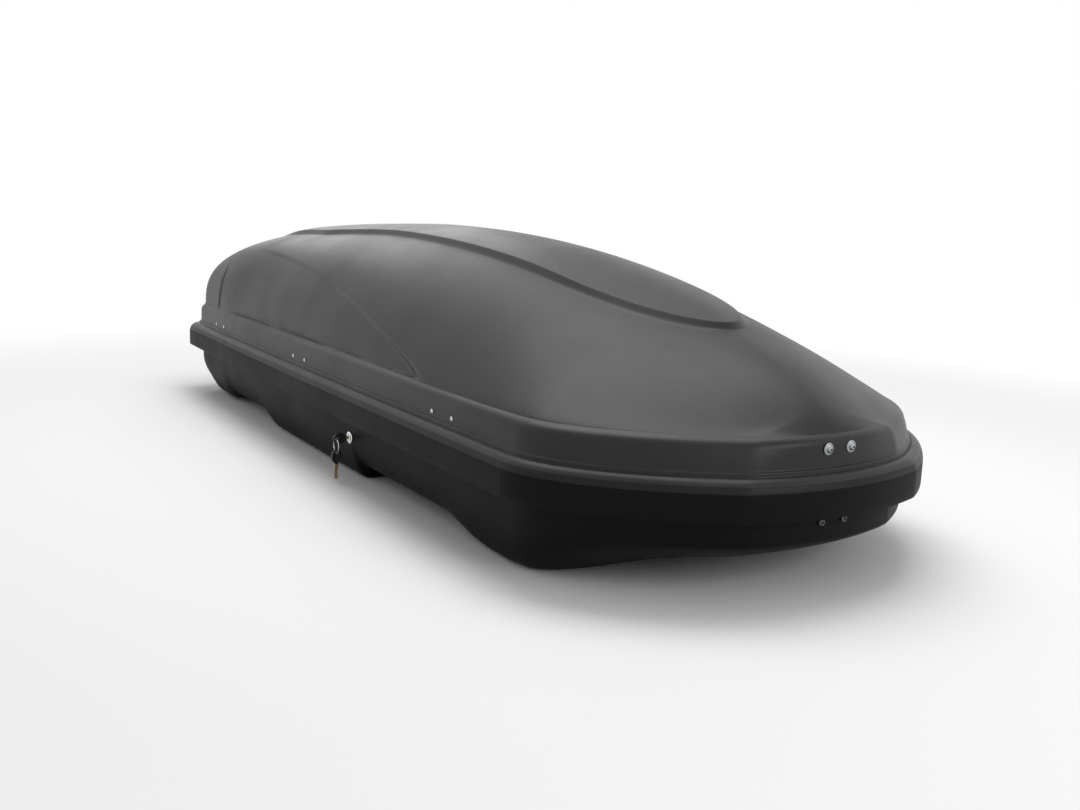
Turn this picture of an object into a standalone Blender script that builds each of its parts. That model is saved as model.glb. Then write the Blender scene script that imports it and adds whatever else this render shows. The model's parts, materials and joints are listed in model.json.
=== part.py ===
"""Roof box for a car: a tray and a side-opening lid, with its hinges, lifters, lock and clamp plates.

Units are metres. +X is the front of the car, -Y is the side with the lock, +Z is up.
The box rests on the keel of its tray at z = 0.
"""
import math

import bmesh
import bpy
import numpy as np
from mathutils import Matrix, Vector

# Overall sizes of the rim of the lid, seen from above
BOX_LENGTH = 2.100
HALF_LENGTH = BOX_LENGTH / 2
RIM_HALF_WIDTH = 0.395
SIDE_BOW = 0.0085
SIDE_TAPER = 0.013
NOSE_BOW = 0.155
NOSE_CORNER_WIDTH = 0.230
NOSE_CORNER_LENGTH = 0.098
TAIL_CORNER = 0.050
TAIL_BOW = 0.0094
CORNER_PULL = 0.60

# Heights above the keel
SKIRT_Z = 0.128
SKIRT_FACE = 0.038
RISER_FOOT, LEDGE_RISE = 0.0612, 0.0667
LEDGE_INSET, WALL_FOOT_INSET, WALL_TOP_INSET, WALL_TOP = 0.0225, 0.0262, 0.0275, 0.100
CREASE_RISE = 0.112
CREASE_Z = SKIRT_Z + CREASE_RISE
CREASE_INSET = 0.040
TAIL_WALL_SHIFT = 0.014
LID_WALL = 0.0035

# Crown of the lid above the crease
CROWN_RISE = 0.2404
CROWN_EASE = 1.08
CROWN_X = -0.219
NOSE_POWER, NOSE_ROUND = 2.372, 0.666
TAIL_POWER, TAIL_ROUND = 1.115, 0.099
SIDE_POWER, SIDE_POWER_GAIN = 1.973, 0.428
SIDE_ROUND, SIDE_ROUND_GAIN = 0.580, 0.254
NOSE_FALL, NOSE_FALL_X, NOSE_FALL_LONG = 0.550, 0.35, 0.60
CROWN_SPAN = 1.035

# Raised band along the crown
BAND_RISE = 0.010
BAND_HALF = 0.118
BAND_FLARE = 0.050
BAND_NOSE_X = 0.775
BAND_TAPER_X = 0.420
BAND_TAIL_X = -0.930
BAND_STEP = 0.020

# Recessed panel on each rear side
PANEL_DEPTH = 0.007
PANEL_STEP = 0.010
PANEL_ARC_POINT = (-0.077, -0.307, 0.208)
PANEL_ARC_NORMAL = (0.055, 0.965, -0.257)
PANEL_TAIL_POINT = (-0.853, -0.323, 0.185)
PANEL_TAIL_NORMAL = (0.609, 0.785, -0.115)
PANEL_FOOT = 0.005

# Tray
TRAY_INSET = 0.030
TRAY_WALL = 0.004
TRAY_TOP = SKIRT_Z + 0.046
TRAY_STRAIGHT = 0.026
TRAY_NOSE_STRAIGHT = 0.040
TRAY_SIDE_ROUND = 0.045
TRAY_NOSE_ROUND = 0.320
TRAY_TAIL_ROUND = 0.110
TRAY_ROUND_POWER, TRAY_NOSE_POWER = 2.0, 1.4
RECESS_Z = 0.026
FOOT_Z = 0.008
REAR_RECESS = (-0.735, -0.478)
KEEL = (-0.406, 0.122)
FRONT_RECESS = (0.136, 0.490)
BELLY_X = 0.620
NOSE_START = 0.70

# Hinge line on the far side; the rim there runs straight at this slope
RIM_SLOPE = math.atan(0.0144)
FIXING_X = (-0.777, -0.160, 0.516)
RIM_LINE = 0.3919
HINGE_OFFSET = 0.015
HINGE_Y = RIM_LINE - HINGE_OFFSET
HINGE_Z = SKIRT_Z + 0.012
LID_SWING = math.radians(55)

CLEAR = 0.0003


def smooth(value):
    """Return a soft 0 to 1 step of value."""
    value = min(1.0, max(0.0, value))
    return value * value * (3 - 2 * value)


def side_y(x, inset):
    """Return the near-side y of the rim at x, inset towards the middle."""
    share = x / HALF_LENGTH
    return -(RIM_HALF_WIDTH - inset) + SIDE_BOW * share ** 2 - SIDE_TAPER * share


def nose_x(y, inset):
    """Return the x of the bowed front of the rim at y."""
    return HALF_LENGTH - inset - NOSE_BOW * (y / RIM_HALF_WIDTH) ** 2


def tail_x(y, inset):
    """Return the x of the slightly bowed rear of the rim at y."""
    return -HALF_LENGTH + inset + TAIL_BOW * (y / RIM_HALF_WIDTH) ** 2


def bend(start, corner, end, share):
    """Return a point of the cubic curve that rounds a corner of the rim."""
    first = start + (corner - start) * CORNER_PULL
    last = end + (corner - end) * CORNER_PULL
    rest = 1 - share
    return rest ** 3 * start + 3 * rest ** 2 * share * first + 3 * rest * share ** 2 * last + share ** 3 * end


SIDE_X = (0.70, BELLY_X, 0.576, FRONT_RECESS[1], 0.38, 0.26, FRONT_RECESS[0], KEEL[1], 0.02, -0.11, -0.26,
          KEEL[0], REAR_RECESS[1], -0.56, -0.65, REAR_RECESS[0], -0.775, -0.86, -0.93)


LID_SIDE_X = (0.69, 0.57, 0.44, 0.30, 0.15, 0.0, -0.15, -0.30, -0.45, -0.60, -0.73, -0.84, -0.93)


def half_rim(inset, nose_steps=4, corner_steps=6, tail_corner_steps=4, tail_steps=3, side_x=SIDE_X):
    """Return the near half of the rim from the front middle to the rear middle, as 2D points."""
    y = -RIM_HALF_WIDTH + inset
    for _ in range(12):
        y = side_y(nose_x(y, inset), inset)
    front = np.array([nose_x(y, inset), y])
    y = -RIM_HALF_WIDTH + inset
    for _ in range(12):
        y = side_y(tail_x(y, inset), inset)
    rear = np.array([tail_x(y, inset), y])
    bow_y = front[1] + NOSE_CORNER_WIDTH
    side_start = front[0] - NOSE_CORNER_LENGTH
    side_end = rear[0] + TAIL_CORNER
    tail_y = rear[1] + TAIL_CORNER
    points = [(nose_x(bow_y * i / nose_steps, inset), bow_y * i / nose_steps) for i in range(nose_steps)]
    a = np.array([nose_x(bow_y, inset), bow_y])
    b = np.array([side_start, side_y(side_start, inset)])
    points += [tuple(bend(a, front, b, i / corner_steps)) for i in range(corner_steps + 1)]
    points += [(x, side_y(x, inset)) for x in side_x]
    a = np.array([side_end, side_y(side_end, inset)])
    b = np.array([tail_x(tail_y, inset), tail_y])
    points += [tuple(bend(a, rear, b, i / tail_corner_steps)) for i in range(tail_corner_steps + 1)]
    points += [(tail_x(tail_y * (1 - i / tail_steps), inset), tail_y * (1 - i / tail_steps))
               for i in range(1, tail_steps + 1)]
    return points


def width_table(inset):
    """Return the x values and half widths of the rim at an inset, for looking up a width."""
    fine = half_rim(inset, 24, 24, 10, 12, tuple(np.linspace(0.78, -0.94, 40)))
    x = np.array([p[0] for p in fine])[::-1]
    y = -np.array([p[1] for p in fine])[::-1]
    return x, y


def wall_shift(x, inset):
    """Return how far back the lid's wall stands at the tail, where it is steeper than at the sides."""
    return TAIL_WALL_SHIFT * smooth((inset - 0.0262) / 0.0138) * smooth((-x - 0.80) / 0.20)


CREASE_X, CREASE_HALF = width_table(CREASE_INSET)
CREASE_X = CREASE_X - np.array([wall_shift(x, CREASE_INSET) for x in CREASE_X])


def crown_z(x, y):
    """Return the height of the lid's crown over a plan point inside the crease."""
    half = max(float(np.interp(x, CREASE_X, CREASE_HALF)), 1e-4)
    across = min(1.0, abs(y) / half)
    if x > CROWN_X:
        along = min(1.0, (x - CROWN_X) / (CREASE_X[-1] - CROWN_X))
        lengthwise = (1 - along ** NOSE_POWER) ** NOSE_ROUND
    else:
        along = min(1.0, (CROWN_X - x) / (CROWN_X - CREASE_X[0]))
        lengthwise = (1 - along ** TAIL_POWER) ** TAIL_ROUND
    rearward = -x / CROWN_SPAN
    power = SIDE_POWER + SIDE_POWER_GAIN * rearward
    roundness = SIDE_ROUND - SIDE_ROUND_GAIN * rearward
    share = lengthwise * (1 - across ** power) ** roundness
    share *= 1 - NOSE_FALL * min(1.0, max(0.0, (x - NOSE_FALL_X) / NOSE_FALL_LONG)) ** 2 * across ** 2
    return CREASE_Z + CROWN_RISE * share ** CROWN_EASE


def band_half(x):
    """Return the half width of the raised band's top at x."""
    if x >= BAND_NOSE_X:
        return 0.0
    if x > BAND_TAPER_X:
        share = (x - BAND_TAPER_X) / (BAND_NOSE_X - BAND_TAPER_X)
        return BAND_HALF * (1 - share ** 2.6) ** 0.55
    flare = max(0.0, -0.10 - x) / 0.60
    return BAND_HALF + BAND_FLARE * min(1.0, flare) ** 2


def band_lift(x):
    """Return the rise of the band at x, fading out over the tail and lower over the nose."""
    return BAND_RISE * smooth((x - BAND_TAIL_X) / 0.20) * (1 - 0.45 * smooth((x - 0.30) / 0.40))


def material(name, colour, roughness, metallic=0.0):
    """Return a Principled material."""
    mat = bpy.data.materials.new(name)
    mat.use_nodes = True
    shader = mat.node_tree.nodes["Principled BSDF"]
    shader.inputs["Base Color"].default_value = (*colour, 1)
    shader.inputs["Roughness"].default_value = roughness
    shader.inputs["Metallic"].default_value = metallic
    return mat


def clear_scene():
    """Remove every object of the start scene."""
    for obj in list(bpy.data.objects):
        bpy.data.objects.remove(obj, do_unlink=True)


clear_scene()
parts = bpy.data.collections.new("roof_box")
cutters = bpy.data.collections.new("roof_box_cutters")
for collection in (parts, cutters):
    bpy.context.scene.collection.children.link(collection)

ABS = material("black_abs", (0.02, 0.02, 0.02), 0.45)
STEEL = material("zinc_steel", (0.55, 0.56, 0.58), 0.35, 1.0)
BLACK_STEEL = material("black_steel", (0.03, 0.03, 0.03), 0.4, 0.0)
CHROME = material("chrome", (0.8, 0.8, 0.8), 0.1, 1.0)
NYLON = material("black_nylon", (0.015, 0.015, 0.015), 0.5)
BRASS = material("nickel_brass", (0.6, 0.5, 0.3), 0.3, 1.0)


def empty(name, place, turn_z=0.0, parent=None):
    """Return an empty at a place, turned about Z."""
    obj = bpy.data.objects.new(name, None)
    parts.objects.link(obj)
    obj.parent = parent
    obj.location = place
    obj.rotation_euler = (0, 0, turn_z)
    return obj


def fixed_line(name, source, parent):
    """Return an empty at the place of another empty that moves with a parent."""
    place = parent.matrix_world.inverted() @ source.matrix_world
    return empty(name, place.to_translation(), place.to_euler().z, parent)


def hang(obj, place, parent):
    """Give a moving piece an empty of its own on its joint's axis."""
    obj.data.transform(Matrix.Translation(-Vector(place)))
    obj.parent = empty(obj.name + "_pivot", place, 0, parent)


def finish(obj, name, mat, parent=None, place=(0, 0, 0), turn=(0, 0, 0), home=None):
    """Name an object, give it its material and place, and put it in a collection."""
    for old in list(obj.users_collection):
        old.objects.unlink(obj)
    (home or parts).objects.link(obj)
    obj.name = name
    obj.data.name = name
    obj.data.materials.clear()
    if mat:
        obj.data.materials.append(mat)
    obj.parent = parent
    obj.location = place
    obj.rotation_euler = turn
    return obj


def cutter(obj):
    """Hide a cutter and return it."""
    obj.hide_render = True
    obj.display_type = "WIRE"
    return obj


def block(name, low, high, mat=None, parent=None, home=None):
    """Return a box between two corners, with its origin at the parent."""
    bpy.ops.mesh.primitive_cube_add(size=1)
    obj = bpy.context.object
    low, high = Vector(low), Vector(high)
    obj.data.transform(Matrix.Translation((low + high) / 2) @ Matrix.Diagonal((*(high - low), 1)))
    return finish(obj, name, mat, parent, home=home)


def rod(name, radius, start, end, mat=None, parent=None, home=None, sides=10):
    """Return a cylinder between two points, with its origin at the parent."""
    start, end = Vector(start), Vector(end)
    bpy.ops.mesh.primitive_cylinder_add(radius=radius, depth=(end - start).length, vertices=sides)
    obj = bpy.context.object
    turn = (end - start).to_track_quat("Z", "Y").to_matrix().to_4x4()
    obj.data.transform(Matrix.Translation((start + end) / 2) @ turn)
    return finish(obj, name, mat, parent, home=home)


def prism(name, outline, low, high, plane, mat=None, parent=None, home=None):
    """Return a flat outline extruded from low to high along the axis that the plane leaves out."""
    curve = bpy.data.curves.new(name, "CURVE")
    curve.dimensions = "2D"
    curve.fill_mode = "BOTH"
    curve.extrude = (high - low) / 2
    spline = curve.splines.new("POLY")
    spline.points.add(len(outline) - 1)
    for point, (u, v) in zip(spline.points, outline):
        point.co = (u, v, 0, 1)
    spline.use_cyclic_u = True
    source = bpy.data.objects.new(name, curve)
    bpy.context.scene.collection.objects.link(source)
    bpy.context.view_layer.update()
    mesh = bpy.data.meshes.new_from_object(source.evaluated_get(bpy.context.evaluated_depsgraph_get()))
    bpy.data.objects.remove(source, do_unlink=True)
    middle = (low + high) / 2
    turns = {
        "xy": Matrix(((1, 0, 0, 0), (0, 1, 0, 0), (0, 0, 1, middle), (0, 0, 0, 1))),
        "xz": Matrix(((1, 0, 0, 0), (0, 0, -1, middle), (0, 1, 0, 0), (0, 0, 0, 1))),
        "yz": Matrix(((0, 0, 1, middle), (1, 0, 0, 0), (0, 1, 0, 0), (0, 0, 0, 1))),
    }
    mesh.transform(turns[plane])
    tidy(mesh)
    obj = bpy.data.objects.new(name, mesh)
    bpy.context.scene.collection.objects.link(obj)
    return finish(obj, name, mat, parent, home=home)


def tidy(mesh):
    """Weld a mesh and face it outwards."""
    shape = bmesh.new()
    shape.from_mesh(mesh)
    bmesh.ops.remove_doubles(shape, verts=shape.verts, dist=1e-5)
    bmesh.ops.recalc_face_normals(shape, faces=shape.faces)
    shape.to_mesh(mesh)
    shape.free()


def turned(name, profile, sides, mat=None, parent=None, place=(0, 0, 0), turn=(0, 0, 0)):
    """Return a closed profile of (radius, height) points, turned about its local Z."""
    mesh = bpy.data.meshes.new(name)
    mesh.from_pydata([(r, 0, z) for r, z in profile], [(i, i + 1) for i in range(len(profile) - 1)], [])
    obj = bpy.data.objects.new(name, mesh)
    bpy.context.scene.collection.objects.link(obj)
    finish(obj, name, mat, parent, place, turn)
    spin = obj.modifiers.new("Screw", "SCREW")
    spin.steps = spin.render_steps = sides
    spin.use_merge_vertices = True
    spin.merge_threshold = 0.0001
    return baked(obj)


def baked(obj):
    """Apply an object's modifiers, weld it and face it outwards."""
    bpy.context.view_layer.update()
    mesh = bpy.data.meshes.new_from_object(obj.evaluated_get(bpy.context.evaluated_depsgraph_get()))
    mesh.name = obj.name
    obj.modifiers.clear()
    obj.data = mesh
    tidy(mesh)
    return obj


def boolean(obj, tool, operation="DIFFERENCE"):
    """Cut an object with a tool, or join the tool to it."""
    mod = obj.modifiers.new("Boolean", "BOOLEAN")
    mod.operation = operation
    mod.solver = "EXACT"
    mod.object = tool
    return obj


def fused(obj, *tools, operation="UNION"):
    """Apply a Boolean of each tool to an object and remove the tools."""
    for tool in tools:
        boolean(obj, tool, operation)
        bpy.context.view_layer.update()
        mesh = bpy.data.meshes.new_from_object(obj.evaluated_get(bpy.context.evaluated_depsgraph_get()))
        mesh.name = obj.name
        obj.modifiers.clear()
        obj.data = mesh
        bpy.data.objects.remove(tool, do_unlink=True)
    tidy(obj.data)
    return obj


def bored(obj, *tools):
    """Cut an object with each tool and remove the tools."""
    return fused(obj, *tools, operation="DIFFERENCE")


def joined(name, pieces):
    """Join several separate cutters into one object and return it."""
    merged = bmesh.new()
    bpy.context.view_layer.update()
    for piece in pieces:
        mesh = piece.data.copy()
        mesh.transform(piece.matrix_world)
        merged.from_mesh(mesh)
    for piece in pieces:
        bpy.data.objects.remove(piece, do_unlink=True)
    mesh = bpy.data.meshes.new(name)
    merged.to_mesh(mesh)
    merged.free()
    obj = bpy.data.objects.new(name, mesh)
    bpy.context.scene.collection.objects.link(obj)
    return cutter(finish(obj, name, None, home=cutters))


def grid_mesh(name, rows):
    """Return a mesh of quads between rows of points, facing up and out."""
    count = len(rows[0])
    verts = [point for row in rows for point in row]
    faces = []
    for r in range(len(rows) - 1):
        for c in range(count - 1):
            a = r * count + c
            faces.append((a, a + count, a + count + 1, a + 1))
    mesh = bpy.data.meshes.new(name)
    mesh.from_pydata(verts, [], faces)
    shape = bmesh.new()
    shape.from_mesh(mesh)
    bmesh.ops.remove_doubles(shape, verts=shape.verts, dist=1e-5)
    bmesh.ops.dissolve_degenerate(shape, edges=shape.edges, dist=1e-6)
    shape.to_mesh(mesh)
    shape.free()
    return mesh


def mix(a, b, share):
    """Return the point between a and b."""
    return tuple(p + (q - p) * share for p, q in zip(a, b))


def lid_rows():
    """Return the rings of the lid's near half from the skirt's lower edge to the middle line."""
    section = [(0.0, 0.0), (0.0, SKIRT_FACE), (0.003, 0.0505), (0.012, 0.0585), (0.0215, RISER_FOOT),
               (LEDGE_INSET, LEDGE_RISE - 0.0010), (WALL_FOOT_INSET, LEDGE_RISE), (WALL_TOP_INSET, WALL_TOP),
               (0.032, 0.1075), (CREASE_INSET, CREASE_RISE)]
    rows = [[(x - wall_shift(x, inset), y, SKIRT_Z + rise) for x, y in half_rim(inset, side_x=LID_SIDE_X)]
            for inset, rise in section]
    crease = [(x, y) for x, y, _ in rows[-1]]
    foot, top, middle = [], [], []
    front, rear = crease[0][0], crease[-1][0]
    for x, y in crease:
        share = (x - rear) / (front - rear)
        band_x = BAND_TAIL_X + (BAND_NOSE_X - BAND_TAIL_X) * share
        half = min(band_half(band_x), abs(y) * 0.42)
        top.append((band_x, -half))
        spread = min(1.0, abs(y) / 0.12)
        foot.append((band_x + 0.014 * smooth((band_x - BAND_TAPER_X) / 0.30) * (1 - 0.4 * spread),
                     -(half + BAND_STEP * spread)))
        middle.append((band_x * 0.93, 0.0))
    for share in (0.035, 0.11, 0.25, 0.48, 0.75):
        rows.append([(*point, crown_z(*point)) for point in (mix(a, b, share) for a, b in zip(crease, foot))])
    rows.append([(*point, crown_z(*point)) for point in foot])
    for share in (0.0, 0.45, 1.0):
        rows.append([(*point, crown_z(*point) + band_lift(point[0]))
                     for point in (mix(a, b, share) for a, b in zip(top, middle))])
    return rows


def sink_panel(mesh):
    """Sink the rear side panel of the lid's near half, with a short step round it."""
    shape = bmesh.new()
    shape.from_mesh(mesh)
    arc = Vector(PANEL_ARC_NORMAL).normalized()
    tail = Vector(PANEL_TAIL_NORMAL).normalized()
    arc_at = Vector(PANEL_ARC_POINT) + Vector((0, 0, SKIRT_Z))
    tail_at = Vector(PANEL_TAIL_POINT) + Vector((0, 0, SKIRT_Z))
    arc_in = arc_at - arc * PANEL_STEP * 0.6
    tail_in = tail_at + tail * PANEL_STEP * 0.4
    foot_z = CREASE_Z + 0.0005
    foot_in = CREASE_Z + PANEL_FOOT

    def near_face(face):
        middle = face.calc_center_median()
        return middle.z > CREASE_Z - 1e-4 and middle.y < -0.15 and -0.97 < middle.x < 0.47

    for point, normal in ((arc_at, arc), (arc_in, arc), (tail_at, tail), (tail_in, tail),
                          (Vector((0, 0, foot_in)), Vector((0, 0, 1)))):
        faces = [f for f in shape.faces if near_face(f)]
        geometry = faces + list({e for f in faces for e in f.edges}) + list({v for f in faces for v in f.verts})
        bmesh.ops.bisect_plane(shape, geom=geometry, dist=1e-5, plane_co=point, plane_no=normal)
    for vert in shape.verts:
        co = vert.co
        if co.z < foot_z or co.y > -0.15 or co.x < -0.97 or co.x > 0.47:
            continue
        outside = -(co - arc_in).dot(arc)
        ahead = (co - tail_in).dot(tail)
        if outside > -1e-5 and ahead > -1e-5 and co.z > foot_in - 1e-5:
            fade = 1 - smooth((-co.x - 0.45) / 0.40) * smooth((co.z - SKIRT_Z - 0.20) / 0.06)
            vert.co.y += PANEL_DEPTH * min(1.0, 0.5 + outside / 0.04) * fade
    bmesh.ops.triangulate(shape, faces=[f for f in shape.faces if len(f.verts) > 4])
    shape.to_mesh(mesh)
    shape.free()


def shell(name, mesh, thickness, mat, origin):
    """Return a mirrored shell of even thickness, with its origin at a point."""
    mesh.transform(Matrix.Translation(-Vector(origin)))
    for poly in mesh.polygons:
        poly.use_smooth = True
    obj = bpy.data.objects.new(name, mesh)
    bpy.context.scene.collection.objects.link(obj)
    finish(obj, name, mat, place=origin)
    middle = bpy.data.objects.new(name + "_middle", None)
    cutters.objects.link(middle)
    middle.location = (0, 0, 0)
    mirror = obj.modifiers.new("Mirror", "MIRROR")
    mirror.use_axis = (False, True, False)
    mirror.use_clip = True
    mirror.merge_threshold = 0.0001
    mirror.mirror_object = middle
    solid = obj.modifiers.new("Solidify", "SOLIDIFY")
    solid.thickness = thickness
    solid.offset = -1
    solid.use_even_offset = False
    return obj


def floor_z(x):
    """Return the height of the tray's underside along the middle."""
    marks = ((-1.10, FOOT_Z), (-0.775, FOOT_Z), (REAR_RECESS[0], RECESS_Z), (REAR_RECESS[1], RECESS_Z),
             (KEEL[0], 0.0), (KEEL[1], 0.0), (FRONT_RECESS[0], RECESS_Z), (FRONT_RECESS[1], RECESS_Z),
             (0.576, 0.004), (BELLY_X, 0.0), (1.10, 0.0))
    return float(np.interp(x, [m[0] for m in marks], [m[1] for m in marks]))


def tray_rows():
    """Return the rings of the tray's near half from its top edge to the middle line."""
    rim = half_rim(TRAY_INSET)
    goals, rounds, straights, powers = [], [], [], []
    for x, y in rim:
        nose = smooth((x - NOSE_START) / (1 - NOSE_START))
        straights.append(SKIRT_Z - TRAY_STRAIGHT - (TRAY_NOSE_STRAIGHT - TRAY_STRAIGHT) * nose)
        powers.append(TRAY_ROUND_POWER + (TRAY_NOSE_POWER - TRAY_ROUND_POWER) * nose)
        goals.append((x - 0.34 * smooth((x - 0.55) / 0.45) + 0.20 * smooth((-x - 0.80) / 0.22), 0.0))
        rounds.append(TRAY_SIDE_ROUND
                      + (TRAY_NOSE_ROUND - TRAY_SIDE_ROUND) * nose
                      + (TRAY_TAIL_ROUND - TRAY_SIDE_ROUND) * smooth((-x - 0.90) / 0.10))
    rows = [[(x, y, TRAY_TOP) for x, y in rim],
            [(x, y, straight) for (x, y), straight in zip(rim, straights)]]
    for share in (0.05, 0.15, 0.32, 0.58, 1.0):
        row = []
        for (x, y), goal, radius, straight, power in zip(rim, goals, rounds, straights, powers):
            reach = math.hypot(goal[0] - x, goal[1] - y)
            px, py = mix((x, y), goal, min(0.96, share * radius / reach))
            floor = floor_z(px)
            rise = 1 - (1 - (1 - share) ** power) ** (1 / power)
            row.append((px, py, floor + (straight - floor) * rise))
        rows.append(row)
    last = rows[-1]
    for share in (0.35, 0.7, 1.0):
        rows.append([(*mix(p[:2], goal, share), floor_z(mix(p[:2], goal, share)[0]))
                     for p, goal in zip(last, goals)])
    return rows


lid_mesh = grid_mesh("lid_shell", lid_rows())
sink_panel(lid_mesh)
tray_mesh = grid_mesh("base_tray", tray_rows())
tray_mesh.flip_normals()

hinge_origin = (0.0, HINGE_Y, HINGE_Z)
lid = shell("lid_shell", lid_mesh, LID_WALL, ABS, hinge_origin)
tray = shell("base_tray", tray_mesh, TRAY_WALL, ABS, (0, 0, 0))


# Fixings: a rivet pair at each catch and hinge, a bolt pair at each lifter bracket
RIVET_SPREAD = 0.035
RIVET_RISE = 0.0752
RIVET_SHANK = 0.0019
RIVET_HEAD = 0.0044
RIVET_GRIP = 0.0073
RIVET_HOLE = 0.0024
LEAF_HALF = 0.043
LEAF_THICK = 0.0018
BOLT_SPREAD = 0.0225
BOLT_MIDDLE = -0.0035
BOLT_SHANK = 0.0026
BOLT_HOLE = 0.0033
WASHER = 0.0090
TRAY_BOLT_HEAD = 0.0058
LID_BOLT_RISE = 0.0935
TRAY_BOLT_RISE = -0.0135

# Hinges on the far side
PIN = 0.0022
PIN_BORE = 0.0026
KNUCKLE = 0.0042
LEG = 0.0038
KNUCKLE_SPLIT = 0.0148

# Catches, lock rail and lock bar on the near side
TONGUE_HALF = 0.015
TONGUE_Y = 0.0040
PEG = 0.0030
PEG_Z = 0.010
BAR_Y = (0.0075, 0.0100)
BAR_Z = (-0.030, -0.010)
RAIL_Y = (0.0016, 0.0036)
RAIL_Z = (-0.034, -0.006)
RAIL_X = (-0.832, 0.560)
GUIDE_X = (-0.70, -0.42, -0.02, 0.30)
LOCK_X, LOCK_Z = 0.120, -0.042
CAM_ARM = 0.0175
CAM_TURN = math.radians(45)
CAM_PIN = 0.0022
BAR_TRAVEL = 2 * CAM_ARM * math.sin(CAM_TURN)

# Key, key ring and spare key
BOW_Y = -0.0275
BOW_LONG, BOW_WIDE, BOW_THICK = 0.0137, 0.0100, 0.0032
BOW_HOLE = 0.0033
HOLE_Y = -0.0345
RING_TOP = LOCK_Z - 0.0012
RING_RADIUS, RING_WIRE = 0.0130, 0.0009
SPARE_HOLE_Z = RING_TOP - 2 * RING_RADIUS - 0.0012

# Lifters at the front and the rear
LIFT_BASE = (0.050, -0.015)
LIFT_LID = (0.100, 0.091)
LOWER_ARM, UPPER_ARM = 0.280, 0.320
FLANGE_X = 0.905
SHEET = 0.002
LIFT_PIN, LIFT_BORE = 0.0030, 0.0034
ELBOW_BORE = 0.0056
ARM_HALF, ARM_THICK = 0.0075, 0.0045

# Clamp plates and their slots over the crossbar recesses
CLAMP_X = ((REAR_RECESS[0] + REAR_RECESS[1]) / 2, (FRONT_RECESS[0] + FRONT_RECESS[1]) / 2)
CLAMP_Y = 0.190
PLATE_LONG, PLATE_WIDE, PLATE_THICK = 0.200, 0.100, 0.002
SLOT_LONG, SLOT_WIDE, SLOT_Y = 0.150, 0.009, 0.030


def bulge(x):
    """Return how far the side of the rim stands outside the straight hinge or rail line at x."""
    return -side_y(x, 0) - (RIM_LINE + math.tan(RIM_SLOPE) * x)


def wall_at_rivets():
    """Return the inset of the lid wall's outer face at the height of the rivets."""
    share = (RIVET_RISE - LEDGE_RISE) / (WALL_TOP - LEDGE_RISE)
    return WALL_FOOT_INSET + (WALL_TOP_INSET - WALL_FOOT_INSET) * share


bpy.context.view_layer.update()
hinge_line = empty("hinge_line", hinge_origin, RIM_SLOPE)
near_line = empty("near_line", (0, -(RIM_LINE - TRAY_INSET - TRAY_WALL), SKIRT_Z), -RIM_SLOPE)
lift_line = empty("lift_line", (0, 0, SKIRT_Z), RIM_SLOPE)
bpy.context.view_layer.update()
lid_near_line = fixed_line("lid_near_line", near_line, hinge_line)
lid_lift_line = fixed_line("lid_lift_line", lift_line, hinge_line)
tray_line = empty("tray_line", (0, 0, 0))
lid_line = fixed_line("lid_line", tray_line, hinge_line)
bpy.context.view_layer.update()

RIVET = [(0, 0.0016), (0.0030, 0.0012), (RIVET_HEAD, 0), (RIVET_SHANK, 0),
         (RIVET_SHANK, -RIVET_GRIP), (0.0032, -RIVET_GRIP), (0.0026, -RIVET_GRIP - 0.0017),
         (0, -RIVET_GRIP - 0.0017)]


def rivet(name, line, x, y, z, outward):
    """Return a blind rivet through the lid wall, its head on the outward side (+1 or -1 in y)."""
    return turned(name, RIVET, 8, STEEL, line, (x, y, z), (math.radians(-90 * outward), 0, 0))


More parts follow.
